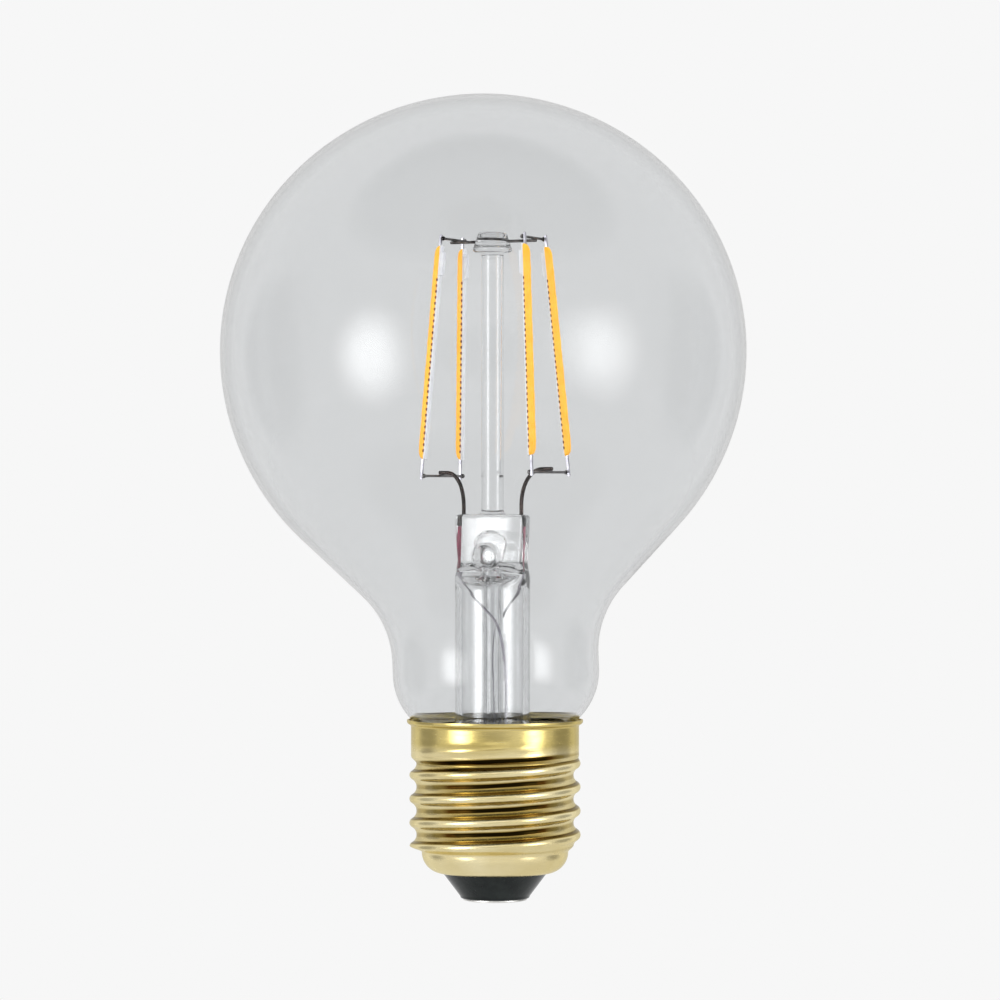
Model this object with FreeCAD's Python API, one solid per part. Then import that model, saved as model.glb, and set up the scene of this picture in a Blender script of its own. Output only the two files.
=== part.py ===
import FreeCAD, Part
import math
import os

# A clear globe lamp: four LED filaments on a glass stem, in an 80 mm bulb on a 27 mm screw cap.
# Millimetres. The origin is the middle of the centre contact's underside and +Z is the cap's axis.

# Screw cap, from the contact upwards
contact_diameter = 9.7
contact_flat_diameter = 6.8
contact_thickness = 0.45
contact_edge_rise = 0.2
eyelet_diameter = 2.0
eyelet_head_diameter = 2.8
eyelet_head_height = 0.3
insulator_height = 3.85
insulator_tip_diameter = 10.6
insulator_tip_round = 0.35
insulator_top_diameter = 15.8
insulator_neck_diameter = 14.6
insulator_flange_height = 0.95
sheet_thickness = 0.25
shoulder_diameter = 22.3
shoulder_fillet = 3.2
thread_length = 14.7
thread_major_diameter = 26.05
thread_minor_diameter = 23.9
thread_pitch = 3.629
thread_crest_radius = 0.75
thread_start_drop = 1.2
thread_top_run_out = 1.3
thread_bottom_run_out = 1.0
thread_columns = 72
thread_row_height = 0.12
collar_diameter = 25.56
collar_length = 4.3
lip_diameter = 26.8
lip_flare_height = 0.85
lip_edge_height = 0.25

# Glass bulb, blown in one piece: crown, globe, funnel, neck and sealed mouth
globe_radius = 40.0
crown_rise = 39.1
crown_joint_angle = 45.0
globe_under_radius = 39.2
funnel_angle = 44.6
funnel_fillet = 14.4
neck_radius = 15.7
neck_straight = 2.2
neck_taper_height = 8.7
mouth_gap = 1.9
mouth_length = 2.6
mouth_drop = 1.5
bulb_wall = 0.7
bulb_lean = 2.26
bulb_shift = 0.43
cement_drop = 0.35

# Glass stem: flare tube, pinch, exhaust tube and rod, turned about its own axis
stem_shift = -0.38
stem_turn = -24.0
flare_tube_diameter = 11.4
flare_tube_length = 18.5
flare_wall = 1.0
skirt_bend_radius = 4.0
skirt_angle = 75.0
skirt_seal_rise = 0.3
pinch_width = 11.2
pinch_thickness = 5.0
pinch_press_height = 4.5
pinch_flat_height = 6.8
pinch_squareness = 4.0
pinch_cavity_height = 2.7
pinch_cavity_width = 10.5
pinch_cavity_thickness = 3.8
exhaust_diameter = 3.2
exhaust_bore = 1.8
exhaust_tail = 3.4
exhaust_bubble_diameter = 4.0
exhaust_bubble_height = 5.7
exhaust_neck_height = 0.6
exhaust_hole_diameter = 2.6
exhaust_hole_rise = 2.4
rod_diameter = 3.4
rod_length = 39.8
rod_foot_fillet = 0.7
button_diameter = 6.0
button_top_diameter = 4.4
button_height = 3.1
button_rim_height = 1.0

# Wires in the bulb
lead_spacing = 9.6
inner_lead_diameter = 0.6
inner_lead_seal = 1.8
dumet_diameter = 0.45
outer_lead_diameter = 0.4
cross_wire_diameter = 0.4
cross_wire_past = 0.45
weld_gap = 0.01
bridge_wire_diameter = 0.45
bridge_wire_end = 0.6
lower_wire_height = 6.1
lower_wire_skew = 0.28
upper_wire_sink = 1.0
lead_hook_end = 0.75
winding_gap = 1.2
lead_inward = 0.5
lead_straight = 0.7
left_winding = ((227, 0.105), (284, 0.17), (304, 0.26), (316, 0.36))
right_winding = ((400, 0.125), (438, 0.205), (453, 0.305), (440, 0.42))

# Filaments: a strip with chips on its outer face, a phosphor bead and two end tabs
lower_ring_x = 8.72
lower_ring_y = 7.06
lower_ring_shift = 0.5
upper_ring_x = 6.58
upper_ring_y = 4.0
upper_ring_shift = 0.15
strip_width = 1.0
strip_thickness = 0.4
strip_pad_thickness = 0.7
strip_pad_length = 3.6
strip_pad_drop = 1.0
strip_end_gap = 1.1
strip_foot_gap = 2.5
chip_count = 30
chip_fill = 0.6
chip_height = 0.3
chip_margin = 1.1
phosphor_width = 1.15
phosphor_height = 1.05
phosphor_end_round = 0.6
tab_width = 0.5
tab_thickness = 0.15
tab_overlap = 0.9
tab_past_wire = 0.6

# Driver in the cap
board_edge_gap = 0.3
board_thickness = 1.0
supply_wire_diameter = 0.6
component_pin_diameter = 0.5
component_pin_sink = 0.5
capacitor_diameter = 8.0
capacitor_height = 11.5
capacitor_x = -5.6
capacitor_pin_spacing = 3.5
capacitor_groove_rise = 1.6
capacitor_groove_depth = 0.25
capacitor_edge = 0.4
inductor_diameter = 6.0
inductor_core_diameter = 4.2
inductor_height = 7.5
inductor_rim = 0.9
inductor_pin_spacing = 2.5
inductor_place = (5.6, 4.4)
fuse_diameter = 3.0
fuse_length = 8.5
fuse_edge = 0.4
fuse_stand_off = 0.5
fuse_loop_rise = 2.0
fuse_place = (5.4, -5.0)
fuse_return_place = (8.0, -3.2)
rectifier_size = (4.7, 3.8, 1.6)
rectifier_place = (-0.4, -6.6)
chip_size = (4.9, 3.9, 1.45)
chip_place = (-0.8, 6.6)
leg_reach = 1.0
leg_width = 0.4
leg_thickness = 0.2
package_lift = 0.1
live_wire_end = 0.8
neutral_place = (9.3, -0.6)
neutral_bend_drop = 2.0
neutral_reach = 4.2
neutral_rise = 3.2

# Heights of the cap's stations above the contact
shell_bottom = contact_thickness + insulator_height
shell_floor = shell_bottom + sheet_thickness
thread_bottom = shell_bottom + shoulder_fillet
thread_top = thread_bottom + thread_length
collar_top = thread_top + collar_length
cap_top = collar_top + lip_flare_height + lip_edge_height
insulator_top = shell_floor + insulator_flange_height
collar_bore_radius = collar_diameter / 2 - sheet_thickness
shoulder_centre_radius = shoulder_diameter / 2 - shoulder_fillet

# Heights of the bulb's stations, worked up from the mouth that the collar holds
mouth_radius = collar_bore_radius - mouth_gap
mouth_top = cap_top - mouth_drop
mouth_bottom = mouth_top - mouth_length
neck_bottom = mouth_top + neck_taper_height
neck_top = neck_bottom + neck_straight

# Heights of the stem's stations, worked up from its seal with the mouth
skirt_turn = math.radians(skirt_angle)
mouth_bore_radius = mouth_radius - bulb_wall
tube_radius = flare_tube_diameter / 2
tube_bore_radius = tube_radius - flare_wall
skirt_inner_reach = tube_bore_radius + (skirt_bend_radius + flare_wall) * (1 - math.cos(skirt_turn))
skirt_top = (
    mouth_bottom + skirt_seal_rise
    + (skirt_bend_radius + flare_wall) * math.sin(skirt_turn)
    + (mouth_bore_radius - skirt_inner_reach) / math.tan(skirt_turn)
)
tube_top = skirt_top + flare_tube_length
pinch_bottom = tube_top + pinch_press_height
pinch_top = pinch_bottom + pinch_flat_height
cavity_top = tube_top + pinch_cavity_height
rod_top = pinch_top + rod_length
button_top = rod_top + button_height
lower_wire_z = pinch_top + lower_wire_height
upper_wire_z = button_top - upper_wire_sink

board_radius = shoulder_diameter / 2 - sheet_thickness - board_edge_gap
board_bottom = thread_bottom - math.sqrt(
    (shoulder_fillet - sheet_thickness) ** 2 - (board_radius - shoulder_centre_radius) ** 2
)
board_top = board_bottom + board_thickness

origin = FreeCAD.Vector(0, 0, 0)
up = FreeCAD.Vector(0, 0, 1)


def at(radius, height):
    """A point of a turned outline, in the XZ plane."""
    return FreeCAD.Vector(radius, 0, height)


def line(start, end):
    return Part.LineSegment(start, end).toShape()


def arc(centre, radius, start_angle, end_angle):
    """An arc in the XZ plane, from start_angle to end_angle in radians, 0 along +X and pi/2 along +Z."""
    def point(angle):
        return at(centre.x + radius * math.cos(angle), centre.z + radius * math.sin(angle))

    middle = (start_angle + end_angle) / 2
    return Part.Arc(point(start_angle), point(middle), point(end_angle)).toShape()


def chained(points):
    return [line(a, b) for a, b in zip(points, points[1:])]


def turned(edges):
    """The solid that a closed outline in the XZ plane sweeps about Z."""
    return Part.Face(Part.Wire(edges)).revolve(origin, up, 360)


def cylinder(radius, bottom, top, x=0.0, y=0.0):
    return Part.makeCylinder(radius, top - bottom, FreeCAD.Vector(x, y, bottom), up)


def block(size, x, y, bottom):
    """A box centred on x, y that stands on bottom."""
    length, width, height = size
    return Part.makeBox(length, width, height, FreeCAD.Vector(x - length / 2, y - width / 2, bottom))


def wire_run(points, diameter):
    """A round wire through the points, with an arc at each bend as large as its shorter run allows."""
    points = [FreeCAD.Vector(*p) for p in points]
    edges, start = [], points[0]
    for before, corner, after in zip(points, points[1:], points[2:]):
        towards = (before - corner).normalize()
        away = (after - corner).normalize()
        half_turn = (math.pi - towards.getAngle(away)) / 2
        reach = 0.45 * min((before - corner).Length, (after - corner).Length)
        bend_radius = reach / math.tan(half_turn)
        into, out = corner + towards * reach, corner + away * reach
        middle_way = (towards + away).normalize()
        crown = corner + middle_way * (bend_radius / math.cos(half_turn) - bend_radius)
        edges += [line(start, into), Part.Arc(into, crown, out).toShape()]
        start = out
    edges.append(line(start, points[-1]))
    direction = (points[1] - points[0]).normalize()
    section = Part.Wire([Part.makeCircle(diameter / 2, points[0], direction)])
    return Part.Wire(edges).makePipeShell([section], True, False)


# Rolled brass shell


def thread_radius(height, crest_height, inset):
    """Section of the rolled thread: a crest arc and a root arc that meet tangentially."""
    depth = (thread_major_diameter - thread_minor_diameter) / 2
    arcs = (thread_pitch ** 2 / 4 + depth ** 2) / (2 * depth)
    crest, root = thread_crest_radius - inset, arcs - thread_crest_radius + inset
    from_crest = abs((height - crest_height + thread_pitch / 2) % thread_pitch - thread_pitch / 2)
    if from_crest < crest * thread_pitch / (2 * arcs):
        return thread_major_diameter / 2 - inset - crest + math.sqrt(crest ** 2 - from_crest ** 2)
    from_root = thread_pitch / 2 - from_crest
    return thread_minor_diameter / 2 - inset + root - math.sqrt(root ** 2 - from_root ** 2)


def smooth_step(share):
    share = min(max(share, 0.0), 1.0)
    return share * share * (3 - 2 * share)


def band_radius(angle, height, inset):
    """The thread climbs one pitch in a turn and runs out into the collar and the shoulder."""
    crest_height = thread_top - thread_start_drop + thread_pitch * angle / (2 * math.pi)
    into_collar = smooth_step((height - thread_top + thread_top_run_out) / thread_top_run_out)
    into_shoulder = smooth_step((thread_bottom + thread_bottom_run_out - height) / thread_bottom_run_out)
    thread = thread_radius(height, crest_height, inset) * (1 - into_collar - into_shoulder)
    collar = (collar_diameter / 2 - inset) * into_collar
    return thread + collar + (shoulder_diameter / 2 - inset) * into_shoulder


def threaded_band(inset):
    """The helical face between shoulder and collar: a cubic spline face, closed round the axis.

    Each pole is the wanted radius plus the little that a cubic spline cuts off between its neighbours."""
    columns, rows = thread_columns, round(thread_length / thread_row_height)
    step, swell = thread_length / rows, 3 / (2 + math.cos(2 * math.pi / columns))
    middle = [step * row for row in range(1, rows)]
    heights = [0, step / 3] + middle + [thread_length - step / 3, thread_length]

    def radius(column, height):
        angle = 2 * math.pi * (column - 1) / columns
        return band_radius(angle, thread_bottom + height, inset)

    poles = []
    for column in range(columns):
        angle = 2 * math.pi * (column - 1) / columns
        outwards = FreeCAD.Vector(math.cos(angle), math.sin(angle), 0)
        radii = [radius(column, height) for height in heights]
        strip = []
        for row, height in enumerate(heights):
            across = (radius(column - 1, height) + radius(column + 1, height) - 2 * radii[row]) / 6
            along = 0
            if 2 < row < len(heights) - 3:
                along = (radii[row - 1] + radii[row + 1] - 2 * radii[row]) / 6
            pole = (radii[row] - across - along) * swell
            strip.append(outwards * pole + up * (thread_bottom + height))
        poles.append(strip)
    surface = Part.BSplineSurface()
    surface.buildFromPolesMultsKnots(
        poles, [1] * (columns + 1), [4] + [1] * (rows - 1) + [4],
        list(range(columns + 1)), list(range(rows + 1)), True, False, 3, 3,
    )
    return surface.toShape()


def lip_outline(inset):
    """Collar and flared lip, from the thread up to the edge."""
    spread = (lip_diameter - collar_diameter) / 2
    turn = 2 * math.atan(spread / lip_flare_height)
    bend = lip_flare_height / math.sin(turn) / 2
    collar_radius, lip_radius = collar_diameter / 2, lip_diameter / 2
    low, high = at(collar_radius + bend, collar_top), at(lip_radius - bend, collar_top + lip_flare_height)
    straight = line(at(collar_radius - inset, thread_top), at(collar_radius - inset, collar_top))
    low_bend = arc(low, bend + inset, math.pi, math.pi - turn)
    high_bend = arc(high, bend - inset, -turn, 0)
    edge = line(at(lip_radius - inset, high.z), at(lip_radius - inset, cap_top))
    return [straight, low_bend, high_bend, edge]


def shoulder_outline(inset):
    """Rounded shoulder that turns in to a flat rim round the insulator."""
    centre = at(shoulder_centre_radius, thread_bottom)
    hole = insulator_neck_diameter / 2
    floor = shell_bottom + inset
    return [line(at(hole, floor), at(centre.x, floor)),
            arc(centre, shoulder_fillet - inset, -math.pi / 2, 0)]


def shell_body(inset):
    """All that lies inside one face of the sheet, as a solid without the hole."""
    band = threaded_band(inset)
    lids = [Part.Face(Part.Wire([edge])) for edge in band.Edges if edge.isClosed()]
    skin = Part.makeCompound([band] + lids)
    skin.sewShape()
    threaded = Part.Solid(skin.Shells[0])
    shoulder, lip = shoulder_outline(inset), lip_outline(inset)
    floor, top = shoulder[0].Vertexes[0].Point, lip[-1].Vertexes[1].Point
    lower = turned([line(at(0, floor.z), floor)] + shoulder + chained([
        shoulder[-1].Vertexes[1].Point, at(0, thread_bottom), at(0, floor.z)]))
    upper = turned(lip + chained([top, at(0, top.z), at(0, thread_top), lip[0].Vertexes[0].Point]))
    joint_tolerance = 0.001
    return threaded.multiFuse([lower, upper], joint_tolerance)


def cap_shell():
    """Sheet between two like bodies, open at the lip and at the insulator's hole."""
    shell = shell_body(0).cut(shell_body(sheet_thickness))
    return shell.cut(cylinder(insulator_neck_diameter / 2, 0, shell_floor))


# Insulator, contact and cement


def cap_insulator():
    """Moulded glass cone whose neck and flange grip the shell's turned-in rim."""
    bore, tip = eyelet_diameter / 2, insulator_tip_diameter / 2
    foot, neck = contact_thickness, insulator_neck_diameter / 2
    rounding = line(at(tip - insulator_tip_round, foot), at(tip, foot + insulator_tip_round))
    rest = chained([
        at(tip, foot + insulator_tip_round), at(insulator_top_diameter / 2, shell_bottom),
        at(neck, shell_bottom), at(neck, shell_floor), at(shoulder_centre_radius, shell_floor),
        at(shoulder_centre_radius, insulator_top), at(bore, insulator_top), at(bore, foot),
        at(tip - insulator_tip_round, foot),
    ])
    return turned([rounding] + rest)


def centre_contact():
    """Pressed contact plate with a riveted eyelet that takes the live wire."""
    flat, rim = contact_flat_diameter / 2, contact_diameter / 2
    wire, eyelet, head = supply_wire_diameter / 2, eyelet_diameter / 2, eyelet_head_diameter / 2
    head_top = insulator_top + eyelet_head_height
    sweep = at((flat + rim) / 2 + contact_edge_rise / 3, contact_edge_rise / 3)
    edge = Part.Arc(at(flat, 0), sweep, at(rim, contact_edge_rise)).toShape()
    rest = chained([
        at(rim, contact_edge_rise), at(rim, contact_thickness), at(eyelet, contact_thickness),
        at(eyelet, insulator_top), at(head, insulator_top), at(head, head_top), at(wire, head_top),
        at(wire, contact_thickness), at(0, contact_thickness), at(0, 0), at(flat, 0),
    ])
    return turned([edge] + rest)


def cap_cement(bulb_body):
    """Cement ring between the collar and the bulb's mouth, trimmed to the leaning glass."""
    outside = collar_bore_radius
    inside = outside - mouth_gap - neck_taper_height / 4
    ring = turned(chained([
        at(inside, mouth_bottom), at(outside, mouth_bottom), at(outside, collar_top - cement_drop),
        at(inside, collar_top - cement_drop), at(inside, mouth_bottom),
    ]))
    return ring.cut(bulb_body)


# Glass bulb


def bulb_outline(inset):
    """The bulb's section from mouth to crown, moved inwards by inset.

    Its upper half is an oval of two arcs that meet at the joint angle, the crown's flatter by shift."""
    slope = math.radians(funnel_angle)
    taper = neck_radius - mouth_radius
    taper_radius = (neck_taper_height ** 2 + taper ** 2) / (2 * taper)
    taper_turn = math.asin(neck_taper_height / taper_radius)
    under_centre_x = globe_radius - globe_under_radius
    under_edge = under_centre_x + globe_under_radius * math.cos(slope)
    neck_edge = neck_radius + funnel_fillet * (1 - math.cos(slope))
    cone = (under_edge - neck_edge) / math.sin(slope)
    equator = neck_top + (funnel_fillet + globe_under_radius) * math.sin(slope) + cone * math.cos(slope)

    taper_centre = at(neck_radius - taper_radius, neck_bottom)
    fillet_centre = at(neck_radius + funnel_fillet, neck_top)
    under_centre = at(under_centre_x, equator)
    taper_arc = arc(taper_centre, taper_radius - inset, -taper_turn, 0)
    fillet_arc = arc(fillet_centre, funnel_fillet + inset, math.pi, math.pi - slope)
    under_arc = arc(under_centre, globe_under_radius - inset, -slope, 0)
    joint = math.radians(crown_joint_angle)
    shift = (globe_radius - crown_rise) / (math.cos(joint) + math.sin(joint) - 1)
    side_centre = at(shift * math.cos(joint), equator)
    crown_centre = at(0, equator - shift * math.sin(joint))
    side_radius = globe_radius - side_centre.x
    side_arc = arc(side_centre, side_radius - inset, 0, joint)
    crown_arc = arc(crown_centre, side_radius + shift - inset, joint, math.pi / 2)
    mouth_edge = taper_arc.Vertexes[0].Point
    mouth = line(at(mouth_edge.x, mouth_bottom), mouth_edge)
    neck = line(taper_arc.Vertexes[1].Point, fillet_arc.Vertexes[0].Point)
    funnel = line(fillet_arc.Vertexes[1].Point, under_arc.Vertexes[0].Point)
    return [mouth, taper_arc, neck, fillet_arc, funnel, under_arc, side_arc, crown_arc]


def filled(outline):
    """The turned solid inside an outline that runs from the mouth to the crown."""
    foot, crown = outline[0].Vertexes[0].Point, outline[-1].Vertexes[1].Point
    return turned(outline + chained([crown, at(0, foot.z), foot]))


def leaned(shape):
    """The bulb stands a little off the cap's axis and leans towards -X."""
    shape = shape.copy()
    shape.translate(FreeCAD.Vector(bulb_shift, 0, 0))
    shape.rotate(FreeCAD.Vector(bulb_shift, 0, cap_top), FreeCAD.Vector(0, 1, 0), -bulb_lean)
    return shape


# Glass stem, in the stem's own frame: X runs across the pinch


def placed(shape):
    """From the stem's frame to the lamp's."""
    shape = shape.copy()
    shape.rotate(origin, up, stem_turn)
    shape.translate(FreeCAD.Vector(stem_shift, 0, 0))
    return shape


def oval(half_width, half_depth, squareness, height):
    """A closed smooth section, round at a squareness of 2 and flatter-sided above it."""
    points, steps = [], 32
    for step in range(steps):
        angle = 2 * math.pi * step / steps
        across, deep = math.cos(angle), math.sin(angle)
        x = math.copysign(abs(across) ** (2 / squareness), across) * half_width
        y = math.copysign(abs(deep) ** (2 / squareness), deep) * half_depth
        points.append(FreeCAD.Vector(x, y, height))
    curve = Part.BSplineCurve()
    curve.interpolate(points, PeriodicFlag=True)
    return Part.Wire([curve.toShape()])


def pressed(bottom_radius, bottom, half_width, half_depth, middle, top):
    """A round tube pressed flat: a loft from a circle to a flattened oval."""
    sections = []
    for share in (0.0, 0.35, 0.7, 1.0):
        eased = smooth_step(share)
        sections.append(oval(
            bottom_radius + (half_width - bottom_radius) * eased,
            bottom_radius + (half_depth - bottom_radius) * eased,
            2 + (pinch_squareness - 2) * eased,
            bottom + (middle - bottom) * share,
        ))
    if top > middle:
        sections.append(oval(half_width, half_depth, pinch_squareness, (middle + top) / 2))
        sections.append(oval(half_width, half_depth, pinch_squareness, top))
    return Part.makeLoft(sections, True, False)


def skirt():
    """The trumpet mouth of the flare tube, drawn past the bulb's bore so that it can be trimmed to it."""
    far = mouth_radius + bulb_wall

    def side(radius, bend):
        centre = at(radius + bend, skirt_top)
        curve = arc(centre, bend, math.pi, math.pi + skirt_turn)
        edge = at(centre.x - bend * math.cos(skirt_turn), skirt_top - bend * math.sin(skirt_turn))
        tip = at(far, edge.z - (far - edge.x) / math.tan(skirt_turn))
        return curve, edge, tip

    outer, outer_edge, outer_tip = side(tube_radius, skirt_bend_radius)
    inner, inner_edge, inner_tip = side(tube_bore_radius, skirt_bend_radius + flare_wall)
    return turned([outer, line(outer_edge, outer_tip), line(outer_tip, inner_tip),
                   line(inner_tip, inner_edge), inner,
                   line(at(tube_bore_radius, skirt_top), at(tube_radius, skirt_top))])


def exhaust_bubble():
    """The blown hollow in the pinch that joins the exhaust tube to the bulb."""
    neck, radius = exhaust_bore / 2, exhaust_bubble_diameter / 2
    neck_end = cavity_top + exhaust_neck_height
    belly = neck_end + radius - neck
    dome = cavity_top + exhaust_bubble_height + exhaust_neck_height - radius
    overlap = 0.1
    edges = chained([at(0, cavity_top - overlap), at(neck, cavity_top - overlap), at(neck, neck_end),
                     at(radius, belly), at(radius, dome)])
    edges.append(arc(at(0, dome), radius, 0, math.pi / 2))
    edges.append(line(at(0, dome + radius), at(0, cavity_top - overlap)))
    hollow = turned(edges)
    hole_height = cavity_top + exhaust_hole_rise
    hole = Part.makeCylinder(exhaust_hole_diameter / 2, pinch_thickness,
                             FreeCAD.Vector(0, 0, hole_height), FreeCAD.Vector(0, -1, 0))
    return hollow.fuse(hole)


def stem_flare(bulb_bore):
    """Flare tube with its skirt and its pressed top, and the bores of all that is sealed in it."""
    step = 0.01
    overlap = 0.4
    tube = cylinder(tube_radius, skirt_top, tube_top)
    press = pressed(tube_radius - step, tube_top - overlap, pinch_width / 2, pinch_thickness / 2,
                    pinch_bottom, pinch_top)
    bore = cylinder(tube_bore_radius, skirt_top, tube_top - overlap)
    hollow = pressed(tube_bore_radius - step, tube_top - 2 * overlap, pinch_cavity_width / 2,
                     pinch_cavity_thickness / 2, cavity_top, cavity_top)
    glass = tube.fuse(press).cut(bore).cut(hollow).fuse(skirt())
    glass = glass.cut(exhaust_bubble())
    for side in (-1, 1):
        x = side * lead_spacing / 2
        glass = glass.cut(cylinder(dumet_diameter / 2, cavity_top - overlap, pinch_top, x))
        glass = glass.cut(cylinder(inner_lead_diameter / 2, pinch_top - inner_lead_seal, pinch_top + 1, x))
    return placed(glass).common(bulb_bore)


def exhaust_tube():
    """Pumping tube, sealed off to a round tip inside the cap."""
    outer, bore = exhaust_diameter / 2, exhaust_bore / 2
    tip = mouth_bottom - exhaust_tail
    edges = [arc(at(0, tip + outer), outer, -math.pi / 2, 0)]
    edges += chained([at(outer, tip + outer), at(outer, cavity_top), at(bore, cavity_top),
                      at(bore, tip + outer)])
    edges.append(arc(at(0, tip + outer), bore, 0, -math.pi / 2))
    edges.append(line(at(0, tip + outer - bore), at(0, tip)))
    return placed(turned(edges))


def bridge_line():
    """The bridge wire's ends: past the middle of each upper cross wire, just under it."""
    height = upper_wire_z - (cross_wire_diameter + bridge_wire_diameter) / 2
    left = FreeCAD.Vector(upper_ring_shift - upper_ring_x - bridge_wire_end, 0, height)
    right = FreeCAD.Vector(upper_ring_shift + upper_ring_x + bridge_wire_end, 0, height)
    return left, right


def bridge_cylinder():
    left, right = bridge_line()
    return Part.makeCylinder(bridge_wire_diameter / 2, (right - left).Length, left, right - left)


def support_rod():
    """Glass rod on the pinch, melted at its top to a button that holds the bridge wire."""
    radius, button = rod_diameter / 2, button_diameter / 2
    foot = radius + rod_foot_fillet
    rim = button_rim_height / 2
    edges = [line(at(0, pinch_top), at(foot, pinch_top)),
             arc(at(foot, pinch_top + rod_foot_fillet), rod_foot_fillet, -math.pi / 2, -math.pi)]
    edges += chained([at(radius, pinch_top + rod_foot_fillet), at(radius, rod_top),
                      at(button - rim, rod_top)])
    edges.append(arc(at(button - rim, rod_top + rim), rim, -math.pi / 2, math.pi / 4))
    shoulder = edges[-1].Vertexes[1].Point
    top = at(button_top_diameter / 2, button_top - rim / 2)
    edges += chained([shoulder, top, at(top.x - rim / 2, button_top), at(0, button_top), at(0, pinch_top)])
    return placed(turned(edges).cut(bridge_cylinder()))


# Wires


def lower_ends(side):
    """The ends of a lower cross wire, front and back, in the stem's frame."""
    x = lower_ring_shift + side * lower_ring_x
    height = lower_wire_z + side * lower_wire_skew
    return [FreeCAD.Vector(x, depth * lower_ring_y, height) for depth in (-1, 1)]


def upper_ends(side):
    x = upper_ring_shift + side * upper_ring_x
    return [FreeCAD.Vector(x, depth * upper_ring_y, upper_wire_z) for depth in (-1, 1)]


def filament_placement(side, depth):
    """Frame of one filament, on the outer side of both cross wires: Z up its length, X outwards."""
    beside = FreeCAD.Vector(side * (cross_wire_diameter / 2 + weld_gap), 0, 0)
    foot = lower_ends(side)[0 if depth < 0 else 1] + beside
    head = upper_ends(side)[0 if depth < 0 else 1] + beside
    along = (head - foot).normalize()
    across = along.cross(FreeCAD.Vector(side, 0, 0)).normalize()
    outwards = across.cross(along)
    matrix = FreeCAD.Matrix(
        outwards.x, across.x, along.x, foot.x,
        outwards.y, across.y, along.y, foot.y,
        outwards.z, across.z, along.z, foot.z,
        0, 0, 0, 1,
    )
    return FreeCAD.Placement(matrix)


def moved(shape, placement):
    shape = shape.copy()
    shape.Placement = placement.multiply(shape.Placement)
    return shape


def cross_wire(ends):
    """A straight wire that runs a little past the two filaments at its side."""
    front, back = ends
    past = (back - front).normalize() * cross_wire_past
    run = back - front + 2 * past
    return placed(Part.makeCylinder(cross_wire_diameter / 2, run.Length, front - past, run))


def inner_lead(side):
    """Lead from the pinch in one long curve to its hook over the lower cross wire."""
    x = side * lead_spacing / 2
    target = lower_ring_shift + side * lower_ring_x
    hook = lower_wire_z + side * lower_wire_skew + (cross_wire_diameter + inner_lead_diameter) / 2
    span, rise = target - x, hook - pinch_top
    points = [
        (x, 0, pinch_top - inner_lead_seal),
        (x, 0, pinch_top + 0.4 * rise),
        (x + 0.18 * span, 0, pinch_top + 0.76 * rise),
        (x + 0.55 * span, 0, hook),
        (target + side * lead_hook_end, 0, hook),
    ]
    return placed(wire_run(points, inner_lead_diameter))


def dumet_seal(side):
    x = side * lead_spacing / 2
    return placed(cylinder(dumet_diameter / 2, cavity_top, pinch_top - inner_lead_seal, x))


def outer_lead(start_angle, winding):
    """Thin lead that winds past the exhaust tube on its way from the pinch to the board.

    Each turn of the winding is an angle about the stem's axis and a share of the way down."""
    near = exhaust_diameter / 2 + winding_gap
    start = lead_spacing / 2
    drop = cavity_top - board_bottom
    stations = [(start_angle, start, 0), (start_angle, start, lead_straight),
                (start_angle, start - lead_inward, winding[0][1] * drop / 2)]
    stations += [(angle, near, share * drop) for angle, share in winding]
    stations.append((winding[-1][0], near, drop))
    points = []
    for angle, radius, depth in stations:
        turn = math.radians(angle)
        points.append((stem_shift + radius * math.cos(turn), radius * math.sin(turn), cavity_top - depth))
    return wire_run(points, outer_lead_diameter)


# Filaments, in the frame of filament_placement


def strip_span(side):
    """Bottom and top of the strip along the filament on one side."""
    length = (upper_ends(side)[1] - lower_ends(side)[1]).Length
    return strip_foot_gap, length - strip_end_gap


def pad_bottom(side):
    return strip_span(side)[1] - strip_pad_drop - strip_pad_length


def filament_strip(side):
    """White strip with a thicker pad at its upper end."""
    bottom, top = strip_span(side)
    bar = Part.makeBox(strip_thickness, strip_width, top - bottom,
                       FreeCAD.Vector(-strip_thickness, -strip_width / 2, bottom))
    pad = Part.makeBox(strip_pad_thickness, strip_width, strip_pad_length,
                       FreeCAD.Vector(-strip_pad_thickness, -strip_width / 2, pad_bottom(side)))
    return bar.fuse(pad).removeSplitter()


def led_chips(side):
    """The row of chips on the strip's outer face, as separate solids of one group."""
    bottom = strip_span(side)[0]
    first, last = bottom + chip_margin, pad_bottom(side)
    pitch = (last - first) / chip_count
    chips = []
    for number in range(chip_count):
        chips.append(Part.makeBox(chip_height, phosphor_width, chip_fill * pitch,
                                  FreeCAD.Vector(0, -phosphor_width / 2, first + number * pitch)))
    return Part.makeCompound(chips)


def end_tab(side, upper):
    """Flat metal tab on the strip's outer face, past the cross wire it is welded to."""
    bottom, top = strip_span(side)
    length = top + strip_end_gap
    low, high = -tab_past_wire, bottom + tab_overlap
    if upper:
        low, high = top - tab_overlap, length + tab_past_wire
    return Part.makeBox(tab_thickness, tab_width, high - low, FreeCAD.Vector(0, -tab_width / 2, low))


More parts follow.
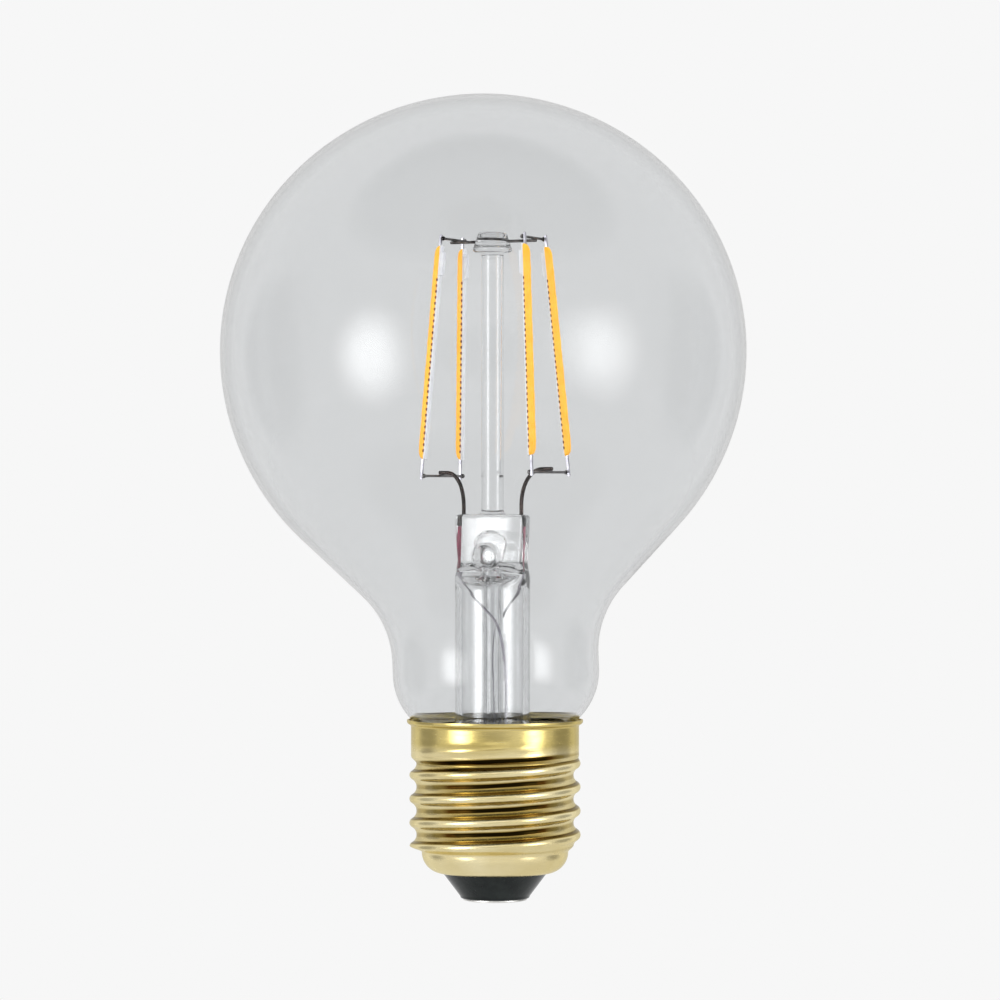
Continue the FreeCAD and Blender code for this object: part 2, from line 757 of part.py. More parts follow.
def phosphor(side):
    """Yellow bead over the chips: a rounded section, with both ends rounded off."""
    bottom, top = strip_span(side)
    half, height = phosphor_width / 2, phosphor_height
    corners = [FreeCAD.Vector(0, -half, bottom), FreeCAD.Vector(height - half, -half, bottom),
               FreeCAD.Vector(height, 0, bottom), FreeCAD.Vector(height - half, half, bottom),
               FreeCAD.Vector(0, half, bottom)]
    section = Part.Wire([line(corners[0], corners[1]),
                         Part.Arc(corners[1], corners[2], corners[3]).toShape(),
                         line(corners[3], corners[4]), line(corners[4], corners[0])])
    bead = Part.Face(section).extrude(up * (top - bottom))
    rounding = phosphor_end_round
    inner = height - rounding
    side_view = [arc(at(inner, top - rounding), rounding, 0, math.pi / 2)]
    side_view += chained([at(inner, top), at(0, top), at(0, bottom), at(inner, bottom)])
    side_view.append(arc(at(inner, bottom + rounding), rounding, -math.pi / 2, 0))
    side_view.append(line(at(height, bottom + rounding), at(height, top - rounding)))
    outline = Part.Face(Part.Wire(side_view))
    outline.translate(FreeCAD.Vector(0, -phosphor_width, 0))
    bead = bead.common(outline.extrude(FreeCAD.Vector(0, 2 * phosphor_width, 0)))
    return bead.cut([led_chips(side), end_tab(side, True), end_tab(side, False)])


# Driver


def pins(places, top):
    """Component pins down through the board."""
    return [cylinder(component_pin_diameter / 2, board_bottom, top, x, y) for x, y in places]


def smoothing_capacitor():
    """Can with a rolled groove, on two pins."""
    radius, foot, top = capacitor_diameter / 2, board_top, board_top + capacitor_height
    depth, edge = capacitor_groove_depth, capacitor_edge
    groove = foot + capacitor_groove_rise
    can = turned(chained([
        at(0, foot), at(radius, foot), at(radius, groove), at(radius - depth, groove + 2 * depth),
        at(radius, groove + 4 * depth), at(radius, top - edge), at(radius - edge, top), at(0, top),
        at(0, foot),
    ]))
    can.translate(FreeCAD.Vector(capacitor_x, 0, 0))
    places = [(capacitor_x + side * capacitor_pin_spacing / 2, 0) for side in (-1, 1)]
    return can.multiFuse(pins(places, foot + component_pin_sink))


def inductor():
    """Drum core with its winding, on two pins."""
    x, y = inductor_place
    foot, top = board_top, board_top + inductor_height
    rim, core = inductor_diameter / 2, inductor_core_diameter / 2
    drum = cylinder(core, foot, top, x, y)
    rims = [cylinder(rim, foot, foot + inductor_rim, x, y), cylinder(rim, top - inductor_rim, top, x, y)]
    winding = cylinder((rim + core) / 2, foot + inductor_rim, top - inductor_rim, x, y)
    places = [(x + side * inductor_pin_spacing / 2, y) for side in (-1, 1)]
    return drum.multiFuse(rims + [winding] + pins(places, foot + component_pin_sink))


def fuse_resistor():
    """Standing resistor whose upper lead bends back down to the board."""
    x, y = fuse_place
    foot = board_top + fuse_stand_off
    top = foot + fuse_length
    loop_top = top + fuse_loop_rise
    body = cylinder(fuse_diameter / 2, foot, top, x, y)
    body = body.makeFillet(fuse_edge, [body.Edges[0], body.Edges[2]])
    lower = cylinder(component_pin_diameter / 2, board_bottom, foot + component_pin_sink, x, y)
    loop = wire_run([(x, y, top - component_pin_sink), (x, y, loop_top), (*fuse_return_place, loop_top),
                     (*fuse_return_place, board_bottom)], component_pin_diameter)
    return body.multiFuse([lower, loop])


def flat_package(size, place, leg_count):
    """Surface-mounted body with bent legs on its two long sides."""
    length, width, height = size
    x, y = place
    body = block((length, width, height - package_lift), x, y, board_top + package_lift)
    foot_size = (leg_width, leg_reach, leg_thickness)
    rise_size = (leg_width, leg_thickness, height / 2 + leg_thickness)
    root_size = (leg_width, 3 * leg_thickness, leg_thickness)
    pitch = length / leg_count
    legs = []
    for number in range(leg_count):
        leg_x = x + (number - (leg_count - 1) / 2) * pitch
        for side in (-1, 1):
            rise_y = y + side * (width / 2 + leg_thickness)
            foot_y = rise_y + side * (leg_reach - leg_thickness) / 2
            legs.append(block(foot_size, leg_x, foot_y, board_top))
            legs.append(block(rise_size, leg_x, rise_y, board_top))
            legs.append(block(root_size, leg_x, rise_y - side * leg_thickness, board_top + height / 2))
    return body.multiFuse(legs)


def live_wire():
    return cylinder(supply_wire_diameter / 2, contact_thickness, board_top + live_wire_end)


def neutral_wire():
    """From the board up to the collar, where it lies against the shell."""
    x, y = neutral_place
    bend = thread_top - neutral_bend_drop
    run = wire_run([(x, y, board_bottom), (x, y, bend), (x + neutral_reach, y, bend + neutral_rise)],
                   supply_wire_diameter)
    return run.common(cylinder(collar_bore_radius, board_bottom, cap_top))


def driver_board(through):
    """Round board that sits in the shell's shoulder, drilled for what passes through it."""
    return cylinder(board_radius, board_bottom, board_top).cut(through)


def lamp_pieces():
    bulb_body = leaned(filled(bulb_outline(0)))
    bulb_bore = leaned(filled(bulb_outline(bulb_wall)))
    pieces = {
        "glass_envelope": bulb_body.cut(bulb_bore),
        "cap_shell": cap_shell(),
        "cap_insulator": cap_insulator(),
        "centre_contact": centre_contact(),
        "cap_cement": cap_cement(bulb_body),
        "stem_flare": stem_flare(bulb_bore),
        "exhaust_tube": exhaust_tube(),
        "support_rod": support_rod(),
        "bridge_wire": placed(bridge_cylinder()),
    }
    number = 0
    for side, name in ((-1, "left"), (1, "right")):
        pieces["lower_cross_wire_" + name] = cross_wire(lower_ends(side))
        pieces["upper_cross_wire_" + name] = cross_wire(upper_ends(side))
        pieces["inner_lead_" + name] = inner_lead(side)
        pieces["dumet_seal_" + name] = dumet_seal(side)
        for depth in (-1, 1):
            number += 1
            here = filament_placement(side, depth)
            for piece, shape in (
                ("filament_strip", filament_strip(side)),
                ("led_chips", led_chips(side)),
                ("phosphor", phosphor(side)),
                ("upper_tab", end_tab(side, True)),
                ("lower_tab", end_tab(side, False)),
            ):
                pieces[f"{piece}_{number}"] = placed(moved(shape, here))
    return pieces


def driver_pieces():
    pieces = {
        "outer_lead_left": outer_lead(stem_turn + 180, left_winding),
        "outer_lead_right": outer_lead(stem_turn + 360, right_winding),
        "live_wire": live_wire(),
        "neutral_wire": neutral_wire(),
        "smoothing_capacitor": smoothing_capacitor(),
        "inductor": inductor(),
        "fuse_resistor": fuse_resistor(),
        "rectifier": flat_package(rectifier_size, rectifier_place, 2),
        "driver_chip": flat_package(chip_size, chip_place, 4),
    }
    pieces["driver_board"] = driver_board(list(pieces.values()))
    return pieces


os.makedirs("parts", exist_ok=True)
for name, shape in {**lamp_pieces(), **driver_pieces()}.items():
    shape.exportStep("parts/" + name + ".step")
    box = shape.BoundBox
    spans = [f"{low:.2f}..{high:.2f}" for low, high in (
        (box.XMin, box.XMax), (box.YMin, box.YMax), (box.ZMin, box.ZMax))]
    print(f"{name}: {len(shape.Solids)} solid(s), {shape.Volume:.3f} mm3, valid {shape.isValid()}", *spans)
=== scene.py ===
import bpy
import math
import numpy as np
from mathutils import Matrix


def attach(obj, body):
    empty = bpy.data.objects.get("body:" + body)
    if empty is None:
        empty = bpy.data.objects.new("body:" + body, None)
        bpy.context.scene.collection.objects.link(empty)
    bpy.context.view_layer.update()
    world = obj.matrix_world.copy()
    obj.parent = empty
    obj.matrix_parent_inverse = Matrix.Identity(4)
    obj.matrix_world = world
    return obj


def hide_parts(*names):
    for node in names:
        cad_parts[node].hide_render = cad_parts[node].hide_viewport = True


# Clear globe lamp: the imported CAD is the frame, and every piece that shows is a fine surface laid over it.
# Lengths are millimetres in the dictionaries and become metres when a mesh is made.

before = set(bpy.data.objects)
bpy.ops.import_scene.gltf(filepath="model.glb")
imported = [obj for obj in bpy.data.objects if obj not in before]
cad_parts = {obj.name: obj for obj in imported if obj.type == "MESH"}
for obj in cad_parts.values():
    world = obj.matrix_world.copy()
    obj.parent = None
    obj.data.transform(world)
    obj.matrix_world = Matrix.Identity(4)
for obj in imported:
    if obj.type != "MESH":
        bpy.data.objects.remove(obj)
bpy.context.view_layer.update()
millimetre = 0.001
print("frame loaded with", len(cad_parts), "nodes")


# Mesh making

def arcPoints(centre, radius, start, end, count):
    # centre + radius * (cos, sin) of angles from start to end, in degrees
    angles = np.radians(np.linspace(start, end, count))
    return np.stack([centre[0] + radius * np.cos(angles), centre[1] + radius * np.sin(angles)], axis=1)


def linePoints(start, end, count):
    # start + (end - start) * share, without the last point
    share = np.linspace(0, 1, count, endpoint=False)[:, None]
    return np.array(start) * (1 - share) + np.array(end) * share


def polarPoints(radius, angles, height):
    # (radius cos, radius sin, height), for any shapes that go together
    flat = np.broadcast_arrays(radius * np.cos(angles), radius * np.sin(angles), height)
    return np.stack(flat, axis=-1)


def turnedRings(profile, around):
    # each (radius, height) of the profile goes once round Z
    profile = np.vstack(profile)
    angles = np.linspace(0, 2 * np.pi, around, endpoint=False)
    return polarPoints(profile[:, :1], angles, profile[:, 1:])


def skinFaces(rings):
    # quads between neighbouring rows, fans where a row is one point, and the last row joins the first
    rows, around = rings.shape[:2]
    single = np.ptp(rings, axis=1).max(axis=1) < 1e-7
    counts = np.where(single, 1, around)
    starts = np.concatenate([[0], np.cumsum(counts)[:-1]])
    points = np.concatenate([ring[:count] for ring, count in zip(rings, counts)])
    here = np.arange(around)
    after = np.roll(here, -1)
    quads, fans = [np.empty((0, 4), dtype=int)], [np.empty((0, 3), dtype=int)]
    for low in range(rows):
        high = (low + 1) % rows
        a, b = starts[low], starts[high]
        if single[low] and not single[high]:
            fans.append(np.stack([a + 0 * here, b + after, b + here], axis=1))
        elif single[high] and not single[low]:
            fans.append(np.stack([a + here, a + after, b + 0 * here], axis=1))
        elif not single[low]:
            quads.append(np.stack([a + here, a + after, b + after, b + here], axis=1))
    return points, np.concatenate(quads), np.concatenate(fans)


def signedVolume(points, quads, fans):
    # sum of a . (b x c) / 6 over the triangles, each quad being two
    corners = np.concatenate([fans, quads[:, :3], quads[:, [0, 2, 3]]])
    a, b, c = points[corners[:, 0]], points[corners[:, 1]], points[corners[:, 2]]
    return np.einsum("ij,ij->i", a, np.cross(b, c)).sum() / 6


def addMesh(name, points, faces, material):
    mesh = bpy.data.meshes.new(name)
    mesh.from_pydata(points, [], faces)
    mesh.materials.append(material)
    made = bpy.data.objects.new(name, mesh)
    bpy.context.scene.collection.objects.link(made)
    return made


def addPiece(name, solids, material, nodeNames, hollows=(), sharpAngle=32):
    # closed skins in one mesh: the solids face outwards, and the hollows face into their own space
    allPoints, allFaces, offset = [], [], 0
    for rings, wanted in [(each, 1) for each in solids] + [(each, -1) for each in hollows]:
        points, quads, fans = skinFaces(rings)
        if signedVolume(points - points.mean(axis=0), quads, fans) * wanted < 0:
            quads, fans = quads[:, ::-1], fans[:, ::-1]
        allPoints.append(points * millimetre)
        allFaces += (quads + offset).tolist() + (fans + offset).tolist()
        offset += len(points)
    piece = addMesh(name, np.concatenate(allPoints).tolist(), allFaces, material)
    piece.data.polygons.foreach_set("use_smooth", np.ones(len(allFaces), dtype=bool))
    piece.data.set_sharp_from_angle(angle=math.radians(sharpAngle))
    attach(piece, "root")
    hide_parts(*nodeNames)


# Material making

def linearColour(red, green, blue):
    # a screen colour of 0 to 255 as linear light
    share = np.array([red, green, blue]) / 255
    return (*np.where(share <= 0.04045, share / 12.92, ((share + 0.055) / 1.055) ** 2.4).tolist(), 1.0)


class Graph:
    # helpers that add nodes to one node tree

    def __init__(self, tree):
        self.nodes, self.links = tree.nodes, tree.links

    def add(self, kind, inputs, **settings):
        # a node of this kind, its inputs given as numbers, colours or the sockets that feed them
        node = self.nodes.new("ShaderNode" + kind)
        for name, value in settings.items():
            setattr(node, name, value)
        for name, value in inputs.items():
            if isinstance(value, bpy.types.NodeSocket):
                self.links.new(value, node.inputs[name])
            else:
                node.inputs[name].default_value = value
        return node

    def math(self, operation, *values):
        # one Math node over numbers or sockets
        return self.add("Math", dict(enumerate(values)), operation=operation).outputs[0]

    def objectPlace(self):
        return self.add("TexCoord", {}).outputs["Object"]


class Surface(Graph):
    # one Principled material on Object coordinates

    def __init__(self, name, **numbers):
        self.material = bpy.data.materials.new(name)
        self.material.use_nodes = True
        super().__init__(self.material.node_tree)
        self.shader = self.nodes["Principled BSDF"]
        self.place = self.objectPlace()
        for socket, value in numbers.items():
            self.shader.inputs[socket.replace("_", " ")].default_value = value

    def noise(self, scale, detail, stretch=(1, 1, 1)):
        # fractal noise of the Object position times stretch
        place = self.add("Mapping", {"Vector": self.place, "Scale": stretch}).outputs["Vector"]
        return self.add("TexNoise", {"Vector": place, "Scale": scale, "Detail": detail}).outputs["Fac"]

    def axes(self):
        # the Object position's X, Y and Z
        return self.add("SeparateXYZ", {"Vector": self.place}).outputs

    def between(self, value, low, high, outLow=0.0, outHigh=1.0):
        # value from low to high becomes outLow to outHigh, held at both ends
        inputs = {"Value": value, "From Min": low, "From Max": high, "To Min": outLow, "To Max": outHigh}
        return self.add("MapRange", inputs).outputs["Result"]

    def mixed(self, share, first, second):
        # first * (1 - share) + second * share, either one a colour or a socket
        return self.add("Mix", {"Factor": share, 6: first, 7: second}, data_type="RGBA").outputs[2]

    def patches(self, scale, detail, low, high, first, second):
        # Base Color: first where the noise is below low, second where it is above high, soft in between
        share = self.between(self.noise(scale, detail), low, high)
        self.feed("Base Color", self.mixed(share, first, second))

    def feed(self, socket, value):
        self.links.new(value, self.shader.inputs[socket])

    def bump(self, value, strength, distance):
        # the value as a height, with its strength and its distance in metres
        inputs = {"Height": value, "Strength": strength, "Distance": distance}
        self.feed("Normal", self.add("Bump", inputs).outputs["Normal"])


def patchySurface(name, first, second, scale, **numbers):
    # two colours in soft patches, mixed by noise of this scale
    surface = Surface(name, **numbers)
    surface.patches(scale, 3.0, 0.35, 0.65, first, second)
    return surface.material


def metalWire(name, dark, light, roughness):
    # drawn metal with duller patches along it
    return patchySurface(name, dark, light, 800, Metallic=1.0, Roughness=roughness)


# Screw cap: shell, insulator and contact

cap = {
    "shellBottom": 4.3, "sheet": 0.25, "holeDiameter": 14.6,
    "shoulderDiameter": 22.3, "shoulderFillet": 3.2,
    "threadLength": 14.7, "majorDiameter": 26.05, "minorDiameter": 23.9, "pitch": 3.629,
    "crestRadius": 0.75, "startDrop": 1.2, "topRunOut": 1.3, "bottomRunOut": 1.0,
    "collarDiameter": 25.56, "collarLength": 4.3,
    "lipDiameter": 26.8, "lipFlareHeight": 0.85, "lipEdgeHeight": 0.25,
    "firstTurnRise": 3.2, "firstTurnDepth": 0.34, "firstTurnSpread": 0.55,
    "firstTurnAngles": (-180, -135, -100, -40),  # starts, has grown, wanes, ends
    "rowHeight": 0.12, "around": 240,
}
cap["threadBottom"] = cap["shellBottom"] + cap["shoulderFillet"]
cap["threadTop"] = cap["threadBottom"] + cap["threadLength"]
cap["collarTop"] = cap["threadTop"] + cap["collarLength"]
cap["top"] = cap["collarTop"] + cap["lipFlareHeight"] + cap["lipEdgeHeight"]


def smoothStep(share):
    # 3 share^2 - 2 share^3, held at 0 and 1
    share = np.clip(share, 0, 1)
    return share * share * (3 - 2 * share)


def threadRadius(angle, height, inset):
    # crest and root arcs that meet tangentially, one pitch up per turn, run out into collar and shoulder;
    # the turn above is only a weak bump on the collar, depth * exp(-(height off it / spread)^2 / 2)
    depth = (cap["majorDiameter"] - cap["minorDiameter"]) / 2
    pitch = cap["pitch"]
    arcs = (pitch ** 2 / 4 + depth ** 2) / (2 * depth)
    crest, root = cap["crestRadius"] - inset, arcs - cap["crestRadius"] + inset
    crestHeight = cap["threadTop"] - cap["startDrop"] + pitch * angle / (2 * np.pi)
    fromCrest = np.abs((height - crestHeight + pitch / 2) % pitch - pitch / 2)
    fromRoot = pitch / 2 - fromCrest
    onCrest = cap["majorDiameter"] / 2 - inset - crest + np.sqrt(np.maximum(crest ** 2 - fromCrest ** 2, 0))
    onRoot = cap["minorDiameter"] / 2 - inset + root - np.sqrt(np.maximum(root ** 2 - fromRoot ** 2, 0))
    thread = np.where(fromCrest < crest * pitch / (2 * arcs), onCrest, onRoot)
    intoCollar = smoothStep((height - cap["threadTop"] + cap["topRunOut"]) / cap["topRunOut"])
    intoShoulder = smoothStep((cap["threadBottom"] + cap["bottomRunOut"] - height) / cap["bottomRunOut"])
    collar, shoulder = cap["collarDiameter"] / 2 - inset, cap["shoulderDiameter"] / 2 - inset
    radius = thread * (1 - intoCollar - intoShoulder) + collar * intoCollar + shoulder * intoShoulder
    degrees = np.degrees(angle)
    start, grown, wane, end = cap["firstTurnAngles"]
    window = smoothStep((degrees - start) / (grown - start)) * smoothStep((end - degrees) / (end - wane))
    offTurn = (height - crestHeight - pitch) / cap["firstTurnSpread"]
    return radius + window * cap["firstTurnDepth"] * np.exp(-offTurn ** 2 / 2)


def shellSide(inset):
    # rows from the insulator's hole up to the lip, on one face of the sheet
    floor, centreX = cap["shellBottom"] + inset, cap["shoulderDiameter"] / 2 - cap["shoulderFillet"]
    under = np.vstack([
        linePoints((cap["holeDiameter"] / 2, floor), (centreX, floor), 3),
        arcPoints((centreX, cap["threadBottom"]), cap["shoulderFillet"] - inset, -90, 0, 20)[:-1],
    ])
    length = cap["threadLength"] + cap["firstTurnRise"]
    rows = round(length / cap["rowHeight"])
    heights = np.linspace(cap["threadBottom"], cap["threadBottom"] + length, rows)[:, None]
    angles = np.linspace(-np.pi, np.pi, cap["around"], endpoint=False)
    thread = polarPoints(threadRadius(angles, heights, inset), angles, heights)
    collar, lip = cap["collarDiameter"] / 2, cap["lipDiameter"] / 2
    turn = 2 * math.degrees(math.atan((lip - collar) / cap["lipFlareHeight"]))
    bend = cap["lipFlareHeight"] / math.sin(math.radians(turn)) / 2
    over = np.vstack([
        linePoints((collar - inset, heights[-1, 0] + 0.1), (collar - inset, cap["collarTop"]), 8),
        arcPoints((collar + bend, cap["collarTop"]), bend + inset, 180, 180 - turn, 9),
        arcPoints((lip - bend, cap["collarTop"] + cap["lipFlareHeight"]), bend - inset, -turn, 0, 9),
        [(lip - inset, cap["top"])],
    ])
    half = cap["around"] // 2
    turned = [np.roll(turnedRings([profile], cap["around"]), -half, axis=1) for profile in (under, over)]
    return np.concatenate([turned[0], thread, turned[1]])


brassTones = {
    "collar": ((0.68, 0.56, 0.24, 1), (0.52, 0.41, 0.13, 1)),  # clear and clouded
    # the paler thread tone is a painted sheen for the bright floor that the thread and shoulder reflect
    "thread": ((0.86, 0.76, 0.47, 1), (0.70, 0.58, 0.28, 1)),
    # painted shade share at which each tone begins and is full, and its colour: bronze, brown and black
    # painted into the grooves as shade
    "paintedGrooveTones": ((0.0, 0.45, (0.36, 0.26, 0.07, 1)), (0.5, 0.75, (0.07, 0.028, 0.003, 1)),
                (0.75, 0.9, (0.010, 0.006, 0.001, 1))),
    # way from one crest to the next, the whole painted shade there, and the thin line above the crest, a
    # painted reflection of dark surroundings above
    "stops": ((0, 0, 0), (0.11, 0, 0), (0.15, 0.65, 0.65), (0.23, 0.8, 0.75), (0.27, 0.45, 0),
              (0.40, 0.45, 0), (0.44, 1, 0), (0.57, 1, 0), (0.61, 0.4, 0), (0.66, 0, 0)),
    # the painted shade copies a reflection of a dark body in front of the lamp, so it is weaker where the
    # surface turns to the sides
    "sideDepth": 7.0, "frontDepth": 10.5, "sideShare": 0.35,  # the whole tone is weaker near the sides
}
brass = Surface("brass with painted shade and sheen", Metallic=1.0, Specular_Tint=(0.96, 0.92, 0.75, 1))


def brassAbove(low, high):
    # 0 below the first height, 1 above the second
    return brass.between(brass.axes()["Z"], low * millimetre, high * millimetre)


def paintedGrooveShade():
    # how dark the thread is painted with shade, by its place between two crests: turns = height / pitch -
    # angle / 360, whose fraction runs from one crest (0) up to the next (1); red is the whole painted shade,
    # weak at the sides, and green is the thin painted reflection above the crest; both fade out at the ends
    # of the thread
    x, y, z = brass.axes().values()
    angle = brass.math("DIVIDE", brass.math("ARCTAN2", y, x), 2 * math.pi)
    height = brass.math("DIVIDE", z, cap["pitch"] * millimetre)
    wander = brass.between(brass.noise(120, 1.0), 0, 1, -0.04, 0.04)
    crest = (cap["threadTop"] - cap["startDrop"]) / cap["pitch"]
    turns = brass.math("SUBTRACT", brass.math("ADD", height, wander), angle)
    ramp = brass.nodes.new("ShaderNodeValToRGB")
    for stop in brassTones["stops"][2:]:
        ramp.color_ramp.elements.new(stop[0])
    for stop, (place, tone, line) in zip(ramp.color_ramp.elements, brassTones["stops"]):
        stop.position, stop.color = place, (tone, line, 0, 1)
    brass.links.new(brass.math("FRACT", brass.math("SUBTRACT", turns, crest)), ramp.inputs["Fac"])
    share = brass.add("SeparateColor", {"Color": ramp.outputs["Color"]}).outputs
    # painted reflection: full shade where the surface faces front or back, weaker towards the sides
    frontReflection = brass.between(brass.math("ABSOLUTE", y), brassTones["sideDepth"] * millimetre,
                           brassTones["frontDepth"] * millimetre, brassTones["sideShare"], 1.0)
    tone = brass.math("MAXIMUM", brass.math("MULTIPLY", share["Red"], frontReflection), share["Green"])
    # noise that makes the painted shade patchy
    shadeVariation = brass.between(brass.noise(70, 2.0), 0.3, 0.55, 0.85, 1.0)
    low = brassAbove(cap["threadBottom"] + 0.4, cap["threadBottom"] + 1.2)
    high = brass.math("SUBTRACT", 1.0, brassAbove(cap["threadTop"] + 0.3, cap["threadTop"] + 0.8))
    return brass.math("MULTIPLY", brass.math("MULTIPLY", tone, shadeVariation), brass.math("MULTIPLY", low, high))


def brassColour():
    # cloudy brass, golden on the collar and paler below it, the paler tone being a painted sheen; painted
    # shade in the grooves tones it bronze, brown and black
    clouds = brass.between(brass.noise(90, 4.0), 0.35, 0.7)
    # switch from the paler painted sheen of the thread and shoulder to the golden collar
    above = brassAbove(cap["threadTop"] + 0.6, cap["threadTop"] + 2.0)
    collar, thread = brass.mixed(clouds, *brassTones["collar"]), brass.mixed(clouds, *brassTones["thread"])
    colour, shadeShare = brass.mixed(above, thread, collar), paintedGrooveShade()
    for begins, full, tone in brassTones["paintedGrooveTones"]:
        colour = brass.mixed(brass.between(shadeShare, begins, full), colour, tone)
    return colour


brass.feed("Base Color", brassColour())
brass.feed("Roughness", brass.between(brass.noise(400, 3.0, (1, 1, 6)), 0.3, 0.7, 0.16, 0.28))
brass.bump(brass.noise(900, 3.0, (1, 1, 5)), 0.12, 0.0001)

addPiece("capShell", [np.concatenate([shellSide(0), shellSide(cap["sheet"])[::-1]])],
         brass.material, ["cap_shell"])

insulator = {
    "foot": 0.45, "tipDiameter": 10.6, "tipRound": 0.35, "topDiameter": 15.8, "neckDiameter": 14.6,
    "flangeDiameter": 15.9, "flangeTop": 5.5, "boreDiameter": 2.0, "edge": 0.12,
}


def insulatorProfile():
    # cone from the contact up to the rim, then the neck through the hole and the flange inside
    tip, top, edge = insulator["tipDiameter"] / 2, insulator["topDiameter"] / 2, insulator["edge"]
    neck, bore, foot = insulator["neckDiameter"] / 2, insulator["boreDiameter"] / 2, insulator["foot"]
    flange, flangeTop = insulator["flangeDiameter"] / 2, insulator["flangeTop"]
    rim, floor, bend = cap["shellBottom"], cap["shellBottom"] + cap["sheet"], insulator["tipRound"]
    return [
        linePoints((bore, foot), (tip - bend, foot), 6),
        arcPoints((tip - bend, foot + bend), bend, -90, -30, 6),
        linePoints((tip, foot + bend), (top - edge / 2, rim - edge), 16),
        [(top - edge / 2, rim - edge), (top, rim - edge / 3), (top - edge / 3, rim), (neck, rim)],
        [(neck, floor), (flange, floor), (flange, flangeTop), (bore, flangeTop)],
    ]


blackGlass = Surface("black cap glass", Roughness=0.16, IOR=1.3)
blackGlass.patches(500, 3.0, 0.35, 0.7, (0.006, 0.009, 0.009, 1), (0.016, 0.021, 0.020, 1))
blackGlass.bump(blackGlass.noise(700, 2.0), 0.15, 0.0002)
addPiece("capInsulator", [turnedRings(insulatorProfile(), 160)], blackGlass.material,
         ["cap_insulator"])

contact = {
    "diameter": 9.7, "flatDiameter": 6.8, "thickness": 0.45, "edgeRise": 0.2, "edgeCut": 0.05,
    "eyeletDiameter": 2.0,
    "headDiameter": 2.8, "headTop": 5.8, "wireDiameter": 0.6,
}


def contactProfile():
    # flat middle, a shallow rise to the rim, and the eyelet up through the insulator
    flat, rim, thick = contact["flatDiameter"] / 2, contact["diameter"] / 2, contact["thickness"]
    eyelet, head = contact["eyeletDiameter"] / 2, contact["headDiameter"] / 2
    wire, cut = contact["wireDiameter"] / 2, contact["edgeCut"]
    share = np.linspace(0, 1, 10)
    rise = np.stack([flat + (rim - flat - 0.08) * share, contact["edgeRise"] * share ** 2 * 0.9], axis=1)
    return [
        [(0, 0), (flat / 2, 0)], rise,
        [(rim, contact["edgeRise"] + cut), (rim, thick - cut), (rim - 0.06, thick), (eyelet, thick)],
        [(eyelet, insulator["flangeTop"]), (head, insulator["flangeTop"]), (head, contact["headTop"])],
        [(wire, contact["headTop"]), (wire, thick), (0, thick)],
    ]


tinned = Surface("tinned contact", Metallic=1.0, Roughness=0.3)
tinned.patches(300, 3.0, 0.4, 0.65, (0.80, 0.79, 0.76, 1), (0.58, 0.57, 0.55, 1))
tinned.bump(tinned.noise(1200, 2.0), 0.2, 0.0001)
addPiece("centreContact", [turnedRings(contactProfile(), 120)], tinned.material,
         ["centre_contact"])
print("cap made")


# Glass bulb

bulb = {
    "globeRadius": 40.0, "crownRise": 39.1, "crownJointAngle": 45.0, "underRadius": 39.2,
    "funnelAngle": 44.6, "funnelFillet": 14.4, "neckRadius": 15.7, "neckStraight": 2.2,
    "taperHeight": 8.7, "mouthGap": 1.9, "mouthLength": 2.6, "mouthDrop": 1.5,
    "wall": 0.7, "lean": 2.26, "shift": 0.43, "around": 192,
}
bulb["mouthRadius"] = cap["collarDiameter"] / 2 - cap["sheet"] - bulb["mouthGap"]
bulb["mouthTop"] = cap["top"] - bulb["mouthDrop"]
bulb["mouthBottom"] = bulb["mouthTop"] - bulb["mouthLength"]


def bulbProfile(inset):
    # mouth, taper arc, neck, funnel fillet, cone, lower globe arc, then an oval of two arcs up to the crown
    slope, joint = math.radians(bulb["funnelAngle"]), math.radians(bulb["crownJointAngle"])
    neck, globe, under = bulb["neckRadius"], bulb["globeRadius"], bulb["underRadius"]
    rise, fillet = bulb["taperHeight"], bulb["funnelFillet"]
    neckBottom = bulb["mouthTop"] + rise
    neckTop = neckBottom + bulb["neckStraight"]
    taper = neck - bulb["mouthRadius"]
    taperRadius = (rise ** 2 + taper ** 2) / (2 * taper)
    taperTurn = math.degrees(math.asin(rise / taperRadius))
    underEdge = globe - under + under * math.cos(slope)
    neckEdge = neck + fillet * (1 - math.cos(slope))
    cone = (underEdge - neckEdge) / math.sin(slope)
    equator = neckTop + (fillet + under) * math.sin(slope) + cone * math.cos(slope)
    shift = (globe - bulb["crownRise"]) / (math.cos(joint) + math.sin(joint) - 1)
    sideX, crownBase = shift * math.cos(joint), equator - shift * math.sin(joint)
    mouth = arcPoints((neck - taperRadius, neckBottom), taperRadius - inset, -taperTurn, 0, 16)
    side = arcPoints((sideX, equator), globe - sideX - inset, 0, bulb["crownJointAngle"], 34)
    crown = arcPoints((0, crownBase), globe - sideX + shift - inset, bulb["crownJointAngle"], 90, 34)
    crown[-1, 0] = 0
    return np.vstack([
        linePoints((mouth[0, 0], bulb["mouthBottom"]), mouth[0], 3), mouth,
        arcPoints((neck + fillet, neckTop), fillet + inset, 180, 180 - bulb["funnelAngle"], 20),
        arcPoints((globe - under, equator), under - inset, -bulb["funnelAngle"], 0, 36)[:-1],
        side[:-1], crown,
    ])


def leaned(rings):
    # the bulb stands a little off the cap's axis and turns about Y at the lip
    turn = math.radians(-bulb["lean"])
    x, rise = rings[..., 0], rings[..., 2] - cap["top"]
    return np.stack([bulb["shift"] + x * math.cos(turn) + rise * math.sin(turn), rings[..., 1],
                     cap["top"] - x * math.sin(turn) + rise * math.cos(turn)], axis=-1)


